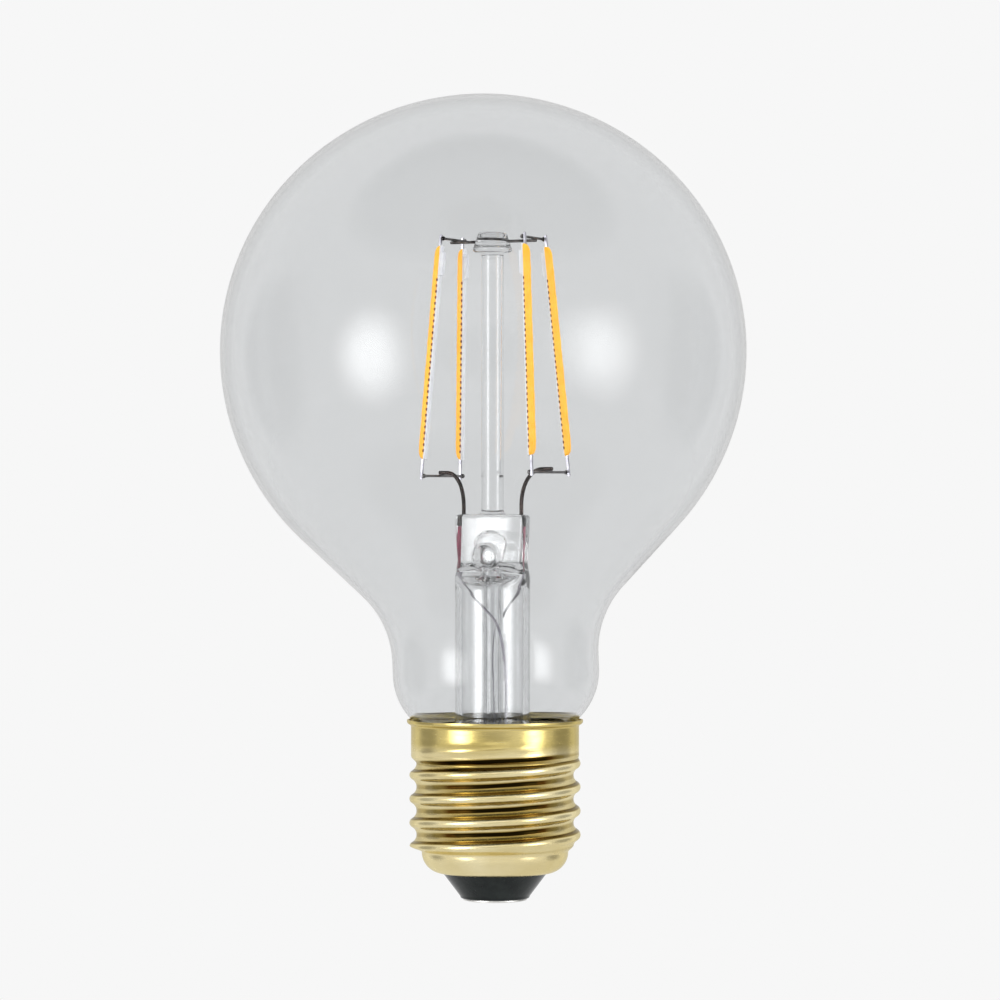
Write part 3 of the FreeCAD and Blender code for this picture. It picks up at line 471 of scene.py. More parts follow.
clearGlass = Surface("clear bulb glass", Roughness=0.0, IOR=1.33, Transmission_Weight=1.0)
clearGlass.shader.inputs["Base Color"].default_value = (0.832, 0.84, 0.845, 1)
clearGlass.bump(clearGlass.noise(25, 2.0), 0.05, 0.0004)
blownWall = turnedRings([bulbProfile(0), bulbProfile(bulb["wall"])[::-1]], bulb["around"])
addPiece("glassEnvelope", [leaned(blownWall)], clearGlass.material, ["glass_envelope"])
print("bulb made")


# Glass stem, in its own frame: X runs across the pinch

stem = {
    "shift": -0.38, "turn": -24.0, "tubeDiameter": 11.4, "tubeLength": 19.65, "wall": 1.0,
    "skirtBend": 2.5, "skirtAngle": 75.0, "sealRise": 0.3, "sealGap": 0.03,
    "pinchWidth": 10.7, "pinchThickness": 5.0, "pressHeight": 4.5, "flatHeight": 6.8, "squareness": 4.0,
    "pinchEdge": 0.7, "pinchFlare": 0.5, "cavityHeight": 2.7, "cavityWidth": 10.1, "cavityThickness": 3.8,
    "cavityRound": 0.3,
    "exhaustDiameter": 3.2, "exhaustBore": 1.8, "exhaustTail": 3.4,
    "bubbleDiameter": 4.0, "bubbleHeight": 5.7, "bubbleNeck": 0.6, "bubbleSpread": 1.35, "bubbleFlat": 0.6,
    "holeRise": 2.3, "holeDiameter": 3.2, "holeDepth": 1.1,
    "holeRim": 0.3, "rimPlace": 1.15, "rimWidth": 0.16,  # place and width in hole radii
    "rodDiameter": 3.4, "rodLength": 39.8, "footFillet": 0.7,
    "buttonDiameter": 6.0, "buttonTopDiameter": 4.4, "buttonHeight": 3.1, "buttonRim": 1.0,
    "buttonNeck": 0.5, "buttonCrown": 0.6,
    "around": 160,
}
skirtTurn = math.radians(stem["skirtAngle"])
tubeRadius = stem["tubeDiameter"] / 2
boreRadius = tubeRadius - stem["wall"]
skirtReach = boreRadius + (stem["skirtBend"] + stem["wall"]) * (1 - math.cos(skirtTurn))
stem["skirtTop"] = (bulb["mouthBottom"] + stem["sealRise"]
                    + (stem["skirtBend"] + stem["wall"]) * math.sin(skirtTurn)
                    + (bulb["mouthRadius"] - bulb["wall"] - skirtReach) / math.tan(skirtTurn))
stem["tubeTop"] = stem["skirtTop"] + stem["tubeLength"]
stem["pinchBottom"] = stem["tubeTop"] + stem["pressHeight"]
stem["pinchTop"] = stem["pinchBottom"] + stem["flatHeight"]
stem["cavityTop"] = stem["tubeTop"] + stem["cavityHeight"]
stem["rodTop"] = stem["pinchTop"] + stem["rodLength"]
stem["buttonTop"] = stem["rodTop"] + stem["buttonHeight"]


def placed(points):
    # from the stem's frame to the lamp's: a turn about Z and a shift along X
    turn = math.radians(stem["turn"])
    x, y = points[..., 0], points[..., 1]
    return np.stack([stem["shift"] + x * math.cos(turn) - y * math.sin(turn),
                     x * math.sin(turn) + y * math.cos(turn), points[..., 2]], axis=-1)


def ovalRing(halfWidth, halfDepth, squareness, height):
    # |x / a|^n + |y / b|^n = 1, round at n = 2 and flatter-sided above it
    angles = np.linspace(0, 2 * np.pi, stem["around"], endpoint=False)
    across, through = np.abs(np.cos(angles) / halfWidth), np.abs(np.sin(angles) / halfDepth)
    radius = (across ** squareness + through ** squareness) ** (-1 / squareness)
    return polarPoints(radius, angles, height)


def pressedRings(radius, bottom, halfWidth, halfDepth, top, count):
    # a round tube pressed flat: each half size and the squareness ease from bottom to top
    rings = []
    for share in np.linspace(0, 1, count):
        eased = float(smoothStep(share))
        rings.append(ovalRing(radius + (halfWidth - radius) * eased, radius + (halfDepth - radius) * eased,
                              2 + (stem["squareness"] - 2) * eased, bottom + (top - bottom) * share))
    return rings


def skirtRings(radius, bend):
    # from the seal on the leaning mouth up the trumpet to the tube
    angles = np.linspace(0, 2 * np.pi, stem["around"], endpoint=False)
    edge = arcPoints((radius + bend, stem["skirtTop"]), bend, 180 + stem["skirtAngle"], 180, 14)
    seal = bulb["mouthRadius"] - bulb["wall"] - stem["sealGap"]
    rise = bulb["mouthBottom"] + stem["sealRise"] - cap["top"]
    offset = bulb["shift"] - rise * math.sin(math.radians(bulb["lean"])) - stem["shift"]
    lampAngle = angles + math.radians(stem["turn"])
    reach = offset * np.cos(lampAngle) + np.sqrt(seal ** 2 - (offset * np.sin(lampAngle)) ** 2)
    height = edge[0, 1] - (reach - edge[0, 0]) / math.tan(skirtTurn)
    return [polarPoints(reach, angles, height), *turnedRings([edge[:-1]], stem["around"])]


def dented(rings):
    # the pinch's front sinks at the exhaust hole by depth * exp(-(distance / radius)^8), in a raised rim of
    # rim * exp(-((distance / radius - place) / width)^2)
    height = stem["cavityTop"] + stem["holeRise"]
    distance = np.hypot(rings[..., 0], rings[..., 2] - height) / (stem["holeDiameter"] / 2)
    front = rings[..., 1] < -0.5
    rings = rings.copy()
    dent = stem["holeDepth"] * np.exp(-distance ** 8)
    rim = stem["holeRim"] * np.exp(-((distance - stem["rimPlace"]) / stem["rimWidth"]) ** 2)
    rings[..., 1] += np.where(front, dent - rim, 0)
    return rings


def stemOutside():
    # skirt, tube, pinch, its rounded top, the rod and the button
    halfWidth, halfDepth, edge = stem["pinchWidth"] / 2, stem["pinchThickness"] / 2, stem["pinchEdge"]
    square, top = stem["squareness"], stem["pinchTop"]
    tube = linePoints((tubeRadius, stem["skirtTop"]), (tubeRadius, stem["tubeTop"]), 16)
    rings = skirtRings(tubeRadius, stem["skirtBend"]) + list(turnedRings([tube], stem["around"]))
    rings += pressedRings(tubeRadius, stem["tubeTop"], halfWidth, halfDepth, stem["pinchBottom"], 46)
    heights = np.arange(stem["pinchBottom"] + 0.1, top - edge, 0.1)
    flares = stem["pinchFlare"] * (heights - stem["pinchBottom"]) / stem["flatHeight"]
    for flare, height in zip(flares, heights):
        rings.append(ovalRing(halfWidth + flare, halfDepth, square, height))
    halfWidth += flares[-1]
    for turn in np.radians(np.linspace(0, 90, 8)):
        sink, height = edge * (1 - math.cos(turn)), top - edge + edge * math.sin(turn)
        rings.append(ovalRing(halfWidth - sink, halfDepth - sink, square, height))
    rod, fillet = stem["rodDiameter"] / 2, stem["footFillet"]
    edgeRing, footRing = rings[-1], ovalRing(rod + fillet, rod + fillet, 2, top)
    rings += [edgeRing * (1 - share) + footRing * share for share in (0.3, 0.6, 1.0)]
    button, rim = stem["buttonDiameter"] / 2, stem["buttonRim"] / 2
    neck, crown = stem["buttonNeck"], stem["buttonCrown"]
    rodTop, buttonTop = stem["rodTop"], stem["buttonTop"]
    profile = [
        arcPoints((rod + fillet, top + fillet), fillet, -90, -180, 10)[1:],
        linePoints((rod, top + fillet), (rod, rodTop - neck), 12),
        arcPoints((rod + neck, rodTop - neck), neck, 180, 90, 7)[:-1],
        arcPoints((button - rim, rodTop + rim), rim, -90, 45, 12),
        arcPoints((stem["buttonTopDiameter"] / 2 - 0.5, buttonTop - crown), crown, 20, 90, 10),
        [(0, buttonTop)],
    ]
    return dented(np.concatenate([np.array(rings), turnedRings(profile, stem["around"])]))


def stemInside():
    # bore of the flare tube, the pressed ceiling, then the exhaust tube down to its sealed tip
    rings = skirtRings(boreRadius, stem["skirtBend"] + stem["wall"])
    boreWall = linePoints((boreRadius, stem["skirtTop"]), (boreRadius, stem["tubeTop"]), 12)
    halfWidth, halfDepth = stem["cavityWidth"] / 2, stem["cavityThickness"] / 2
    bend, top = stem["cavityRound"], stem["cavityTop"]
    ceiling = pressedRings(boreRadius, stem["tubeTop"], halfWidth, halfDepth, top - bend, 22)
    rings += list(turnedRings([boreWall], stem["around"])) + ceiling
    tube, tip = stem["exhaustDiameter"] / 2, bulb["mouthBottom"] - stem["exhaustTail"]
    collar = ovalRing(tube + bend / 2, tube + bend / 2, 2, top)
    rings += [ceiling[-1] * (1 - share) + collar * share for share in (0.25, 0.5, 0.75, 1.0)]
    tail = arcPoints((0, tip + tube), tube, 0, -90, 14)
    tail[-1, 0] = 0
    profile = [linePoints((tube, top - bend), (tube, tip + tube), 30), tail]
    return np.concatenate([np.array(rings), turnedRings(profile, stem["around"])])


def exhaustHollow():
    # bore of the exhaust tube and the blown bubble at its top, wide across the pinch and flat through it
    bore, bubble = stem["exhaustBore"] / 2, stem["bubbleDiameter"] / 2
    tip = bulb["mouthBottom"] - stem["exhaustTail"] + stem["exhaustDiameter"] / 2
    neckEnd = stem["cavityTop"] + stem["bubbleNeck"]
    dome = stem["cavityTop"] + stem["bubbleHeight"] + stem["bubbleNeck"] - bubble
    foot, head = arcPoints((0, tip), bore, -90, 0, 10), arcPoints((0, dome), bubble, 0, 90, 16)
    foot[0, 0], head[-1, 0] = 0, 0
    rings = turnedRings([foot, linePoints((bore, tip + 0.5), (bore, neckEnd), 24),
                         linePoints((bore, neckEnd), (bubble, neckEnd + bubble - bore), 6), head], 96)
    blown = smoothStep((rings[..., 2] - neckEnd) / bubble)
    rings[..., 0] *= 1 + (stem["bubbleSpread"] - 1) * blown
    rings[..., 1] *= 1 + (stem["bubbleFlat"] - 1) * blown
    return rings


stemGlass = Surface("clear stem glass", Roughness=0.0, IOR=1.52, Transmission_Weight=1.0,
                    Coat_Weight=0.7, Coat_IOR=1.7, Coat_Roughness=0.03)
stemGlass.shader.inputs["Base Color"].default_value = (0.985, 0.988, 0.992, 1)
stemGlass.bump(stemGlass.noise(180, 2.0), 0.06, 0.0004)
addPiece("glassStem", [placed(np.concatenate([stemOutside(), stemInside()[::-1]]))], stemGlass.material,
         ["stem_flare", "exhaust_tube", "support_rod"], hollows=[placed(exhaustHollow())])
print("stem made")


# Wires

wires = {
    "leadSpacing": 9.6, "leadDiameter": 0.6, "leadSeal": 1.8, "dumetDiameter": 0.45, "outerDiameter": 0.4,
    "crossDiameter": 0.4, "crossPast": 0.45, "weldDiameter": 0.7, "weldGap": 0.01,
    "bridgeDiameter": 0.45, "bridgeEnd": 0.6, "hookEnd": 0.75,
    "lowerHeight": 6.1, "lowerSkew": 0.28, "upperSink": 1.0, "endRound": 0.3, "around": 20,
    "lowerRing": (8.72, 7.06, 0.5), "upperRing": (6.58, 4.0, 0.15),  # half width, half depth, shift in X
    "leadBends": ((0, 0.4), (0.18, 0.76), (0.55, 1)),  # share of the way out and of the way up
    "windingGap": 1.2, "leadInward": 0.5, "leadStraight": 0.7, "boardBottom": 6.2,
    "leftWinding": ((227, 0.105), (284, 0.17), (304, 0.26), (316, 0.36)),  # degrees and share of the drop
    "rightWinding": ((400, 0.125), (438, 0.205), (453, 0.305), (440, 0.42)),
}
lowerWireHeight = stem["pinchTop"] + wires["lowerHeight"]
upperWireHeight = stem["buttonTop"] - wires["upperSink"]


def bentPath(points, reach=0.45, steps=9):
    # straight runs joined by quadratic curves: (1-t)^2 into + 2t(1-t) corner + t^2 out
    points = np.array(points, dtype=float)
    share = np.linspace(0, 1, steps)[:, None]
    path = [points[:1]]
    for before, corner, after in zip(points, points[1:], points[2:]):
        cut = reach * min(np.linalg.norm(before - corner), np.linalg.norm(after - corner))
        into = corner + (before - corner) / np.linalg.norm(before - corner) * cut
        out = corner + (after - corner) / np.linalg.norm(after - corner) * cut
        path.append((1 - share) ** 2 * into + 2 * share * (1 - share) * corner + share ** 2 * out)
    return np.concatenate(path + [points[-1:]])


def wireRings(path, diameter):
    # circles across the path, each turned as little as it can be from the last, with rounded ends
    path = np.array(path, dtype=float)
    along = np.gradient(path, axis=0)
    along /= np.linalg.norm(along, axis=1, keepdims=True)
    side = np.cross(along[0], (0.31, 0.87, 0.11))
    sides = []
    for direction in along:
        side = side - direction * np.dot(side, direction)
        side = side / np.linalg.norm(side)
        sides.append(side)
    sides = np.array(sides)
    angles = np.linspace(0, 2 * np.pi, wires["around"], endpoint=False)[None, :, None]
    across = sides[:, None] * np.cos(angles) + np.cross(along, sides)[:, None] * np.sin(angles)
    radius = diameter / 2
    body = path[:, None] + radius * across
    cut = radius * wires["endRound"]
    first = path[0] + (radius - cut) * across[:1]
    last = path[-1] + (radius - cut) * across[-1:]
    body[0] += along[0] * cut
    body[-1] -= along[-1] * cut
    poles = [np.repeat(point[None, None], wires["around"], axis=1) for point in path[[0, -1]]]
    return np.concatenate([poles[0], first, body, last, poles[1]])


def crossEnds(side):
    # front and back ends of the lower and the upper cross wire, left (-1) or right (1)
    heights = (lowerWireHeight + side * wires["lowerSkew"], upperWireHeight)
    ends = []
    for (width, reach, shift), height in zip((wires["lowerRing"], wires["upperRing"]), heights):
        ends.append([np.array([shift + side * width, depth * reach, height]) for depth in (-1, 1)])
    return ends


darkWire = metalWire("oxidised mount wire", (0.03, 0.026, 0.026, 1), (0.18, 0.17, 0.165, 1), 0.35)
greyWire = metalWire("nickel cross wire", (0.05, 0.045, 0.045, 1), (0.20, 0.19, 0.19, 1), 0.3)
leadWire = metalWire("nickel lead", (0.012, 0.009, 0.008, 1), (0.07, 0.05, 0.045, 1), 0.3)
copperWire = metalWire("copper clad seal wire", (0.45, 0.05, 0.13, 1), (0.62, 0.14, 0.22, 1), 0.45)
thinWire = metalWire("thin outer lead", (0.30, 0.27, 0.33, 1), (0.50, 0.47, 0.53, 1), 0.4)


def innerLeadPath(side):
    # up out of the pinch and over in one long curve to the hook on the cross wire
    x = side * wires["leadSpacing"] / 2
    target = wires["lowerRing"][2] + side * wires["lowerRing"][0]
    apart = (wires["crossDiameter"] + wires["leadDiameter"]) / 2
    hook = lowerWireHeight + side * wires["lowerSkew"] + apart
    span, foot = target - x, stem["pinchTop"]
    bends = [(x + out * span, 0, foot + up * (hook - foot)) for out, up in wires["leadBends"]]
    end = (target + side * wires["hookEnd"], 0, hook)
    return bentPath([(x, 0, foot - wires["leadSeal"]), *bends, end], 0.5, 12)


def outerLeadPath(startAngle, winding):
    # polar steps about the stem's axis: an angle and a share of the way down to the board
    near = stem["exhaustDiameter"] / 2 + wires["windingGap"]
    start = wires["leadSpacing"] / 2
    drop = stem["cavityTop"] - wires["boardBottom"]
    stations = [(startAngle, start, 0), (startAngle, start, wires["leadStraight"]),
                (startAngle, start - wires["leadInward"], winding[0][1] * drop / 2)]
    stations += [(angle, near, share * drop) for angle, share in winding]
    stations.append((winding[-1][0], near, drop))
    angle, radius, depth = np.array(stations).T
    angle = np.radians(angle)
    path = polarPoints(radius, angle, stem["cavityTop"] - depth)
    return bentPath(path + (stem["shift"], 0, 0))


def crossWirePath(ends):
    # from a little past one filament to a little past the other
    front, back = ends
    past = (back - front) / np.linalg.norm(back - front) * wires["crossPast"]
    return np.linspace(front - past, back + past, 12)


def weldRings(centre):
    # a small ball of melted metal
    turn = np.radians(np.linspace(-90, 90, 11))
    profile = wires["weldDiameter"] / 2 * np.stack([np.cos(turn), np.sin(turn)], axis=1)
    profile[[0, -1], 0] = 0
    return turnedRings([profile], wires["around"]) + centre


for side, name in ((-1, "left"), (1, "right")):
    for level, ends, material in zip(("lower", "upper"), crossEnds(side), (greyWire, darkWire)):
        solids = [wireRings(placed(crossWirePath(ends)), wires["crossDiameter"])]
        solids += [weldRings(placed(end)) for end in ends]
        addPiece(f"{level}CrossWire_{name}", solids, material,
                 [f"{level}_cross_wire_{name}"])
    addPiece("innerLead_" + name, [wireRings(placed(innerLeadPath(side)), wires["leadDiameter"])],
             leadWire, ["inner_lead_" + name])
    x = side * wires["leadSpacing"] / 2
    seal = np.linspace((x, 0, stem["cavityTop"]), (x, 0, stem["pinchTop"] - wires["leadSeal"]), 10)
    addPiece("dumetSeal_" + name, [wireRings(placed(seal), wires["dumetDiameter"])],
             copperWire, ["dumet_seal_" + name])

for name, startAngle, winding in (("left", stem["turn"] + 180, wires["leftWinding"]),
                                  ("right", stem["turn"] + 360, wires["rightWinding"])):
    addPiece("outerLead_" + name, [wireRings(outerLeadPath(startAngle, winding), wires["outerDiameter"])],
             thinWire, ["outer_lead_" + name])

bridgeReach = wires["upperRing"][0] + wires["bridgeEnd"]
bridgeHeight = upperWireHeight - (wires["crossDiameter"] + wires["bridgeDiameter"]) / 2
bridge = np.linspace((wires["upperRing"][2] - bridgeReach, 0, bridgeHeight),
                     (wires["upperRing"][2] + bridgeReach, 0, bridgeHeight), 16)
addPiece("bridgeWire", [wireRings(placed(bridge), wires["bridgeDiameter"])], darkWire,
         ["bridge_wire"])
print("wires made")


# Filaments

filament = {
    "width": 1.0, "thickness": 0.3, "padThickness": 0.7, "padLength": 3.6, "padDrop": 1.0,
    "endGap": 1.1, "footGap": 2.5, "chipCount": 30, "chipMargin": 1.1,
    "chipLength": 0.42, "chipLow": -0.1, "chipHigh": 0.16, "chipStandOut": 0.02,
    "beadWidth": 1.15, "beadHeight": 0.95, "beadEnd": 1.5, "beadWave": 0.035, "boxEdge": 0.04,
    "tabWidth": 0.5, "tabThickness": 0.34, "tabOverlap": 0.9, "tabPast": 0.6,
}


def filamentFrame(side, depth):
    # foot of the filament, its directions outwards, across and along, and its length
    index = 0 if depth < 0 else 1
    beside = np.array([side * (wires["crossDiameter"] / 2 + wires["weldGap"]), 0, 0])
    foot, head = [ends[index] + beside for ends in crossEnds(side)]
    length = np.linalg.norm(head - foot)
    along = (head - foot) / length
    across = np.cross(along, (side, 0, 0))
    across /= np.linalg.norm(across)
    return foot, np.array([np.cross(across, along), across, along]), length


def boxRings(low, high):
    # a box along the third direction whose edges are cut: an eight sided section, drawn in at both ends
    (x0, y0, z0), (x1, y1, z1), edge = low, high, filament["boxEdge"]
    middle = ((x0 + x1) / 2, (y0 + y1) / 2)

    def section(inset, z):
        left, right, near, far = x0 + inset, x1 - inset, y0 + inset, y1 - inset
        xs = (left + edge, right - edge, right, right, right - edge, left + edge, left, left)
        ys = (near, near, near + edge, far - edge, far, far, far - edge, near + edge)
        return np.stack([xs, ys, [z] * 8], axis=1)

    rows = [section(edge, z0), section(0, z0 + edge), section(0, z1 - edge), section(edge, z1)]
    return np.array([[(*middle, z0)] * 8, *rows, [(*middle, z1)] * 8])


def beadRings(bottom, top):
    # section of straight sides and a half round, carried up the strip and drawn in at both ends
    half, height, draw = filament["beadWidth"] / 2, filament["beadHeight"], filament["beadEnd"]
    turn = np.radians(np.linspace(-90, 90, 15))
    curve = np.stack([height - half + half * np.cos(turn), half * np.sin(turn)], axis=1)
    section = np.concatenate([[(0, -half)], curve, [(0, half)], [(0, 0)]])
    turns = np.radians(np.linspace(0, 90, 12))
    share, rise = np.sin(turns), draw * (1 - np.cos(turns))
    middle = np.linspace(bottom + draw, top - draw, 60)[1:-1]
    z = np.concatenate([bottom + rise, middle, (top - rise)[::-1]])[:, None]
    scale = np.concatenate([share, np.ones(len(middle)), share[::-1]])[:, None]
    wave = 1 + filament["beadWave"] * np.sin(z * 2.1) * np.sin(z * 0.83 + 1)  # the bead is never quite even
    width = section[:, 1] * np.clip(0.3 + scale, 0, 1)
    rings = np.stack([section[:, 0] * scale * wave, width, z + 0 * width], axis=2)
    poles = [np.repeat([[[0.1, 0, end]]], len(section), axis=1) for end in (bottom, top)]
    return np.concatenate([poles[0], rings, poles[1]])


# the bead glows though the lamp is off: its emission is a painted glow that brightens it behind the glass
phosphor = Surface("phosphor bead", Roughness=0.35, Emission_Strength=0.35)
glow = phosphor.mixed(phosphor.between(phosphor.noise(700, 3.0), 0.3, 0.7),
                      linearColour(253, 190, 52), linearColour(251, 174, 34))
phosphor.feed("Base Color", glow)
phosphor.feed("Emission Color", glow)

darkChip = Surface("dark chips", Roughness=0.6, Specular_IOR_Level=0.2)
darkChip.patches(900, 2.0, 0.4, 0.6, (0.12, 0.02, 0.01, 1), (0.30, 0.08, 0.03, 1))

ceramic = Surface("white strip", Roughness=0.5)
ceramic.patches(600, 2.0, 0.4, 0.6, (0.90, 0.91, 0.93, 1), (0.83, 0.83, 0.87, 1))

tabMetal = metalWire("bright tab", (0.38, 0.37, 0.42, 1), (0.80, 0.79, 0.85, 1), 0.3)


def makeFilament(number, side, depth):
    # strip with its pad, row of chips, bead and both tabs
    foot, axes, length = filamentFrame(side, depth)

    def add(name, solids, material, nodeName, sharpAngle=32):
        inLamp = [placed(foot + rings @ axes) for rings in solids]
        addPiece(f"{name}_{number}", inLamp, material, [f"{nodeName}_{number}"],
                 sharpAngle=sharpAngle)

    bottom, top = filament["footGap"], length - filament["endGap"]
    padBottom = top - filament["padDrop"] - filament["padLength"]
    half, thick = filament["width"] / 2, filament["thickness"]
    strip = boxRings((-thick, -half, bottom), (0, half, top))
    pad = boxRings((-filament["padThickness"], -half, padBottom),
                   (-thick / 2, half, padBottom + filament["padLength"]))
    add("filamentStrip", [strip, pad], ceramic.material, "filament_strip")

    first = bottom + filament["chipMargin"]
    pitch = (padBottom - first) / filament["chipCount"]
    chipHalf = filament["beadWidth"] / 2 + filament["chipStandOut"]
    chips = []
    for base in first + pitch * np.arange(filament["chipCount"]):
        chips.append(boxRings((filament["chipLow"], -chipHalf, base),
                              (filament["chipHigh"], chipHalf, base + filament["chipLength"])))
    add("ledChips", chips, darkChip.material, "led_chips")
    add("phosphor", [beadRings(bottom, top)], phosphor.material, "phosphor", 50)

    tabHalf, tabThick = filament["tabWidth"] / 2, filament["tabThickness"]
    tabs = {
        "upper": (top - filament["tabOverlap"], length + filament["tabPast"]),
        "lower": (-filament["tabPast"], bottom + filament["tabOverlap"]),
    }
    for level, (low, high) in tabs.items():
        tab = boxRings((0, -tabHalf, low), (tabThick, tabHalf, high))
        add(f"{level}Tab", [tab], tabMetal, f"{level}_tab")


for number, (side, depth) in enumerate(((-1, -1), (-1, 1), (1, -1), (1, 1)), 1):
    makeFilament(number, side, depth)
print("filaments made")


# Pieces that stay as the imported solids: cement and the driver in the cap

solidFinishes = {
    # material, its two colours, the scale of their patches and the roughness
    "cap_cement": ("cement", (0.85, 0.74, 0.44, 1), (0.18, 0.12, 0.05, 1), 330, 0.85),
    "driver_board": ("green board", (0.03, 0.14, 0.06, 1), (0.04, 0.18, 0.08, 1), 300, 0.4),
    "smoothing_capacitor": ("capacitor sleeve", (0.02, 0.02, 0.03, 1), (0.04, 0.04, 0.05, 1), 200, 0.35),
    "inductor": ("ferrite", (0.03, 0.03, 0.03, 1), (0.06, 0.055, 0.05, 1), 500, 0.7),
    "fuse_resistor": ("resistor body", (0.10, 0.20, 0.24, 1), (0.13, 0.25, 0.29, 1), 400, 0.4),
    "rectifier": ("moulded package", (0.015, 0.015, 0.017, 1), (0.03, 0.03, 0.032, 1), 600, 0.5),
}
solidMaterials = {"live_wire": thinWire, "neutral_wire": thinWire}
for nodeName, (name, first, second, scale, roughness) in solidFinishes.items():
    solidMaterials[nodeName] = patchySurface(name, first, second, scale, Roughness=roughness)
solidMaterials["driver_chip"] = solidMaterials["rectifier"]
for nodeName, material in solidMaterials.items():
    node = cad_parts[nodeName]
    node.data.materials.clear()
    node.data.materials.append(material)
print("solids finished")


# Studio: pale surroundings, soft lamps and the camera

studio = {
    "pale": 0.93, "ambient": 0.9, "inner": 1.1, "aim": 0.03,
    "floorHeight": -0.3, "floorRadius": 1.3, "floorFade": 0.35,
    "cameraPlace": (0.00076, -0.650, 0.061), "focalPixels": 4272, "framePixels": 1000, "sensor": 36.0,
}

# azimuth, elevation, distance, width, height, level, and the share of the card at which it starts to fade
cards = {
    "left softbox": (-48, 0, 0.8, 0.64, 0.7, 6.5, 0.1),
    "right softbox": (55, 2, 0.8, 0.56, 0.7, 5.3, 0.1),
    "dark ceiling": (0, 75, 0.95, 2.2, 1.5, 0.12, 0.6),
    "front band": (0, 21, 1.2, 1.0, 0.5, 1.25, 0.6),
    "dim front": (0, 0, 1.1, 1.0, 0.5, 0.6, 0.5),
    "low band": (0, -42, 1.0, 1.8, 0.9, 1.3, 0.5),
    "left side": (-105, 0, 0.9, 0.8, 1.0, 0.45, 0.5),
    "right side": (105, 0, 0.9, 0.8, 1.0, 0.45, 0.5),
    "dim back": (180, 5, 1.0, 2.0, 2.0, 0.77, 0.6),
}


def makeWorld():
    # pale to the camera, to reflections and through glass, the ambient level to diffuse light, and more to
    # what stands inside the glass: level = mix(ambient, pale, seen) + inner * (diffuse depth > 0.5) *
    # transmission
    world = bpy.data.worlds.new("studio world")
    bpy.context.scene.world = world
    world.use_nodes = True
    graph = Graph(world.node_tree)
    path = graph.add("LightPath", {}).outputs
    seen = graph.math("MAXIMUM", path["Is Camera Ray"], path["Is Glossy Ray"])
    seen = graph.math("MAXIMUM", seen, path["Is Transmission Ray"])
    inside = graph.math("GREATER_THAN", path["Diffuse Depth"], 0.5)
    inside = graph.math("MULTIPLY", inside, path["Is Transmission Ray"])
    level = graph.math("MULTIPLY_ADD", seen, studio["pale"] - studio["ambient"], studio["ambient"])
    level = graph.math("MULTIPLY_ADD", inside, studio["inner"], level)
    background = graph.nodes["Background"].inputs
    background["Color"].default_value = (1, 1, 1, 1)
    graph.links.new(level, background["Strength"])


def cardMaterial(name, width, tall, level, falloff):
    # shines up to its falloff share, fades out from there to its oval rim and only shows in reflections:
    # hide = max(fade, glossy depth < 0.5, diffuse depth > 0.5)
    material = bpy.data.materials.new(name)
    material.use_nodes = True
    material.node_tree.nodes.clear()
    graph = Graph(material.node_tree)
    oval = graph.add("Mapping", {"Vector": graph.objectPlace(), "Scale": (2 / width, 1, 2 / tall)})
    length = graph.add("VectorMath", {0: oval.outputs["Vector"]}, operation="LENGTH").outputs["Value"]
    fade = graph.add("MapRange", {"Value": length, "From Min": falloff}, interpolation_type="SMOOTHSTEP")
    path = graph.add("LightPath", {}).outputs
    hide = graph.math("LESS_THAN", path["Glossy Depth"], 0.5)
    hide = graph.math("MAXIMUM", hide, graph.math("GREATER_THAN", path["Diffuse Depth"], 0.5))
    hide = graph.math("MAXIMUM", hide, fade.outputs["Result"])
    light = graph.add("Emission", {"Strength": level}).outputs["Emission"]
    clear = graph.add("BsdfTransparent", {}).outputs["BSDF"]
    mix = graph.add("MixShader", {"Fac": hide, 1: light, 2: clear})
    graph.add("OutputMaterial", {"Surface": mix.outputs["Shader"]})
    material.cycles.emission_sampling = "NONE"
    return material


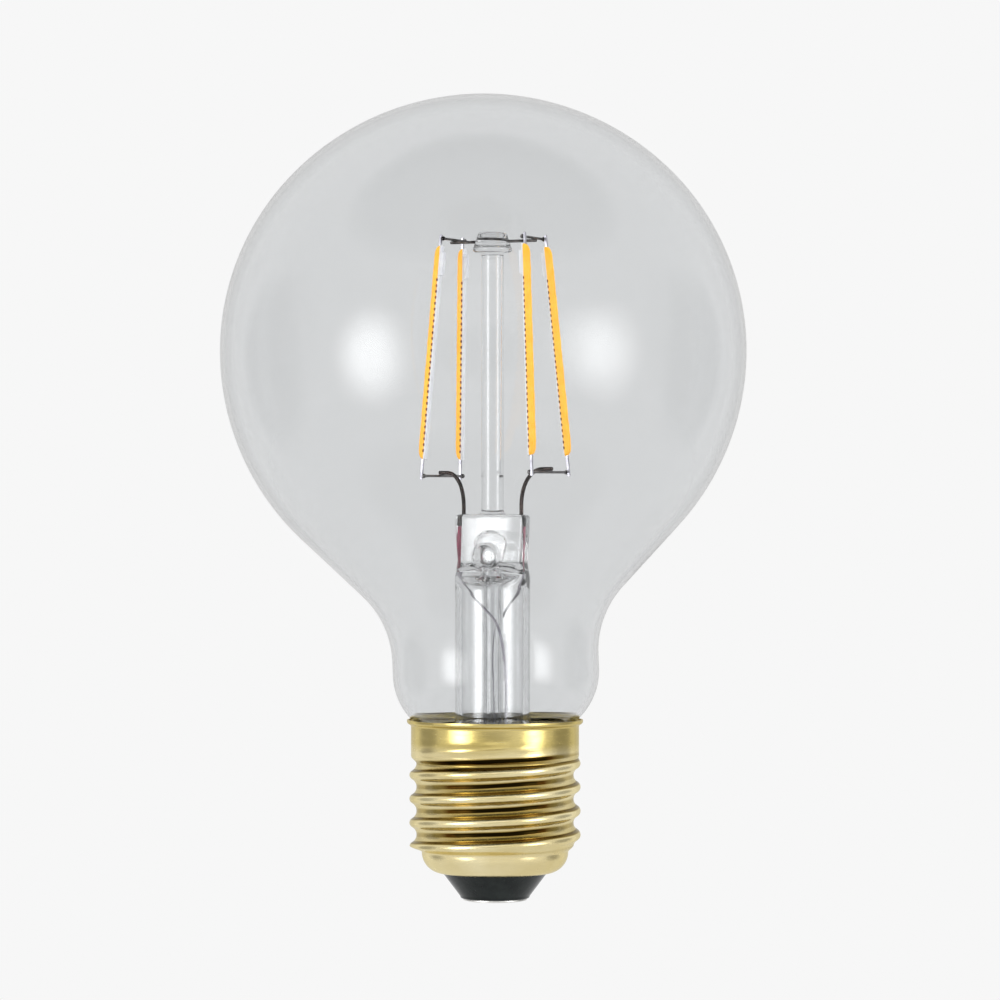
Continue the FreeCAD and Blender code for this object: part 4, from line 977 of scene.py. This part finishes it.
def addCard(name, azimuth, elevation, distance, width, tall, level, falloff):
    # an upright card round the lamp, tipped to face the cap
    turn, rise = math.radians(azimuth), math.radians(elevation)
    corners = [(x * width / 2, 0, z * tall / 2) for x, z in ((-1, -1), (1, -1), (1, 1), (-1, 1))]
    card = addMesh(name, corners, [(0, 1, 2, 3)], cardMaterial(name, width, tall, level, falloff))
    reach, height = distance * math.cos(rise), studio["aim"] + distance * math.sin(rise)
    card.location = (reach * math.sin(turn), -reach * math.cos(turn), height)
    card.rotation_euler = (-rise, 0, turn)
    card.visible_camera = False
    card.visible_diffuse = False
    card.visible_shadow = False


def makeFloor():
    # a pale disc well below the lamp, which fades out towards its rim and is clear from below
    surface = Surface("pale floor", Roughness=0.9)
    surface.patches(6, 2.0, 0, 1, (0.92, 0.92, 0.92, 1), (0.94, 0.94, 0.94, 1))
    distance = surface.add("VectorMath", {0: surface.place}, operation="LENGTH").outputs["Value"]
    under = surface.add("NewGeometry", {}).outputs["Backfacing"]
    fade = surface.between(distance, studio["floorFade"], studio["floorRadius"], 1, 0)
    surface.feed("Alpha", surface.math("MULTIPLY", fade, surface.math("SUBTRACT", 1.0, under)))
    angles = np.linspace(0, 2 * np.pi, 64, endpoint=False)
    rim = polarPoints(studio["floorRadius"], angles, 0)
    floor = addMesh("floor", rim.tolist(), [list(range(len(rim)))], surface.material)
    floor.location.z = studio["floorHeight"]


def makeCamera():
    # level camera in front, at the distance that fits the photograph's perspective
    data = bpy.data.cameras.new("camera")
    data.sensor_width = studio["sensor"]
    data.lens = studio["focalPixels"] / studio["framePixels"] * studio["sensor"]
    data.clip_start, data.clip_end = 0.01, 20
    camera = bpy.data.objects.new("camera", data)
    camera.location = studio["cameraPlace"]
    camera.rotation_euler = (math.radians(90), 0, 0)
    bpy.context.scene.collection.objects.link(camera)
    bpy.context.scene.camera = camera


makeWorld()
makeFloor()
makeCamera()
for name, numbers in cards.items():
    addCard(name, *numbers)
bpy.context.scene.view_settings.view_transform = "Standard"
print("studio made")
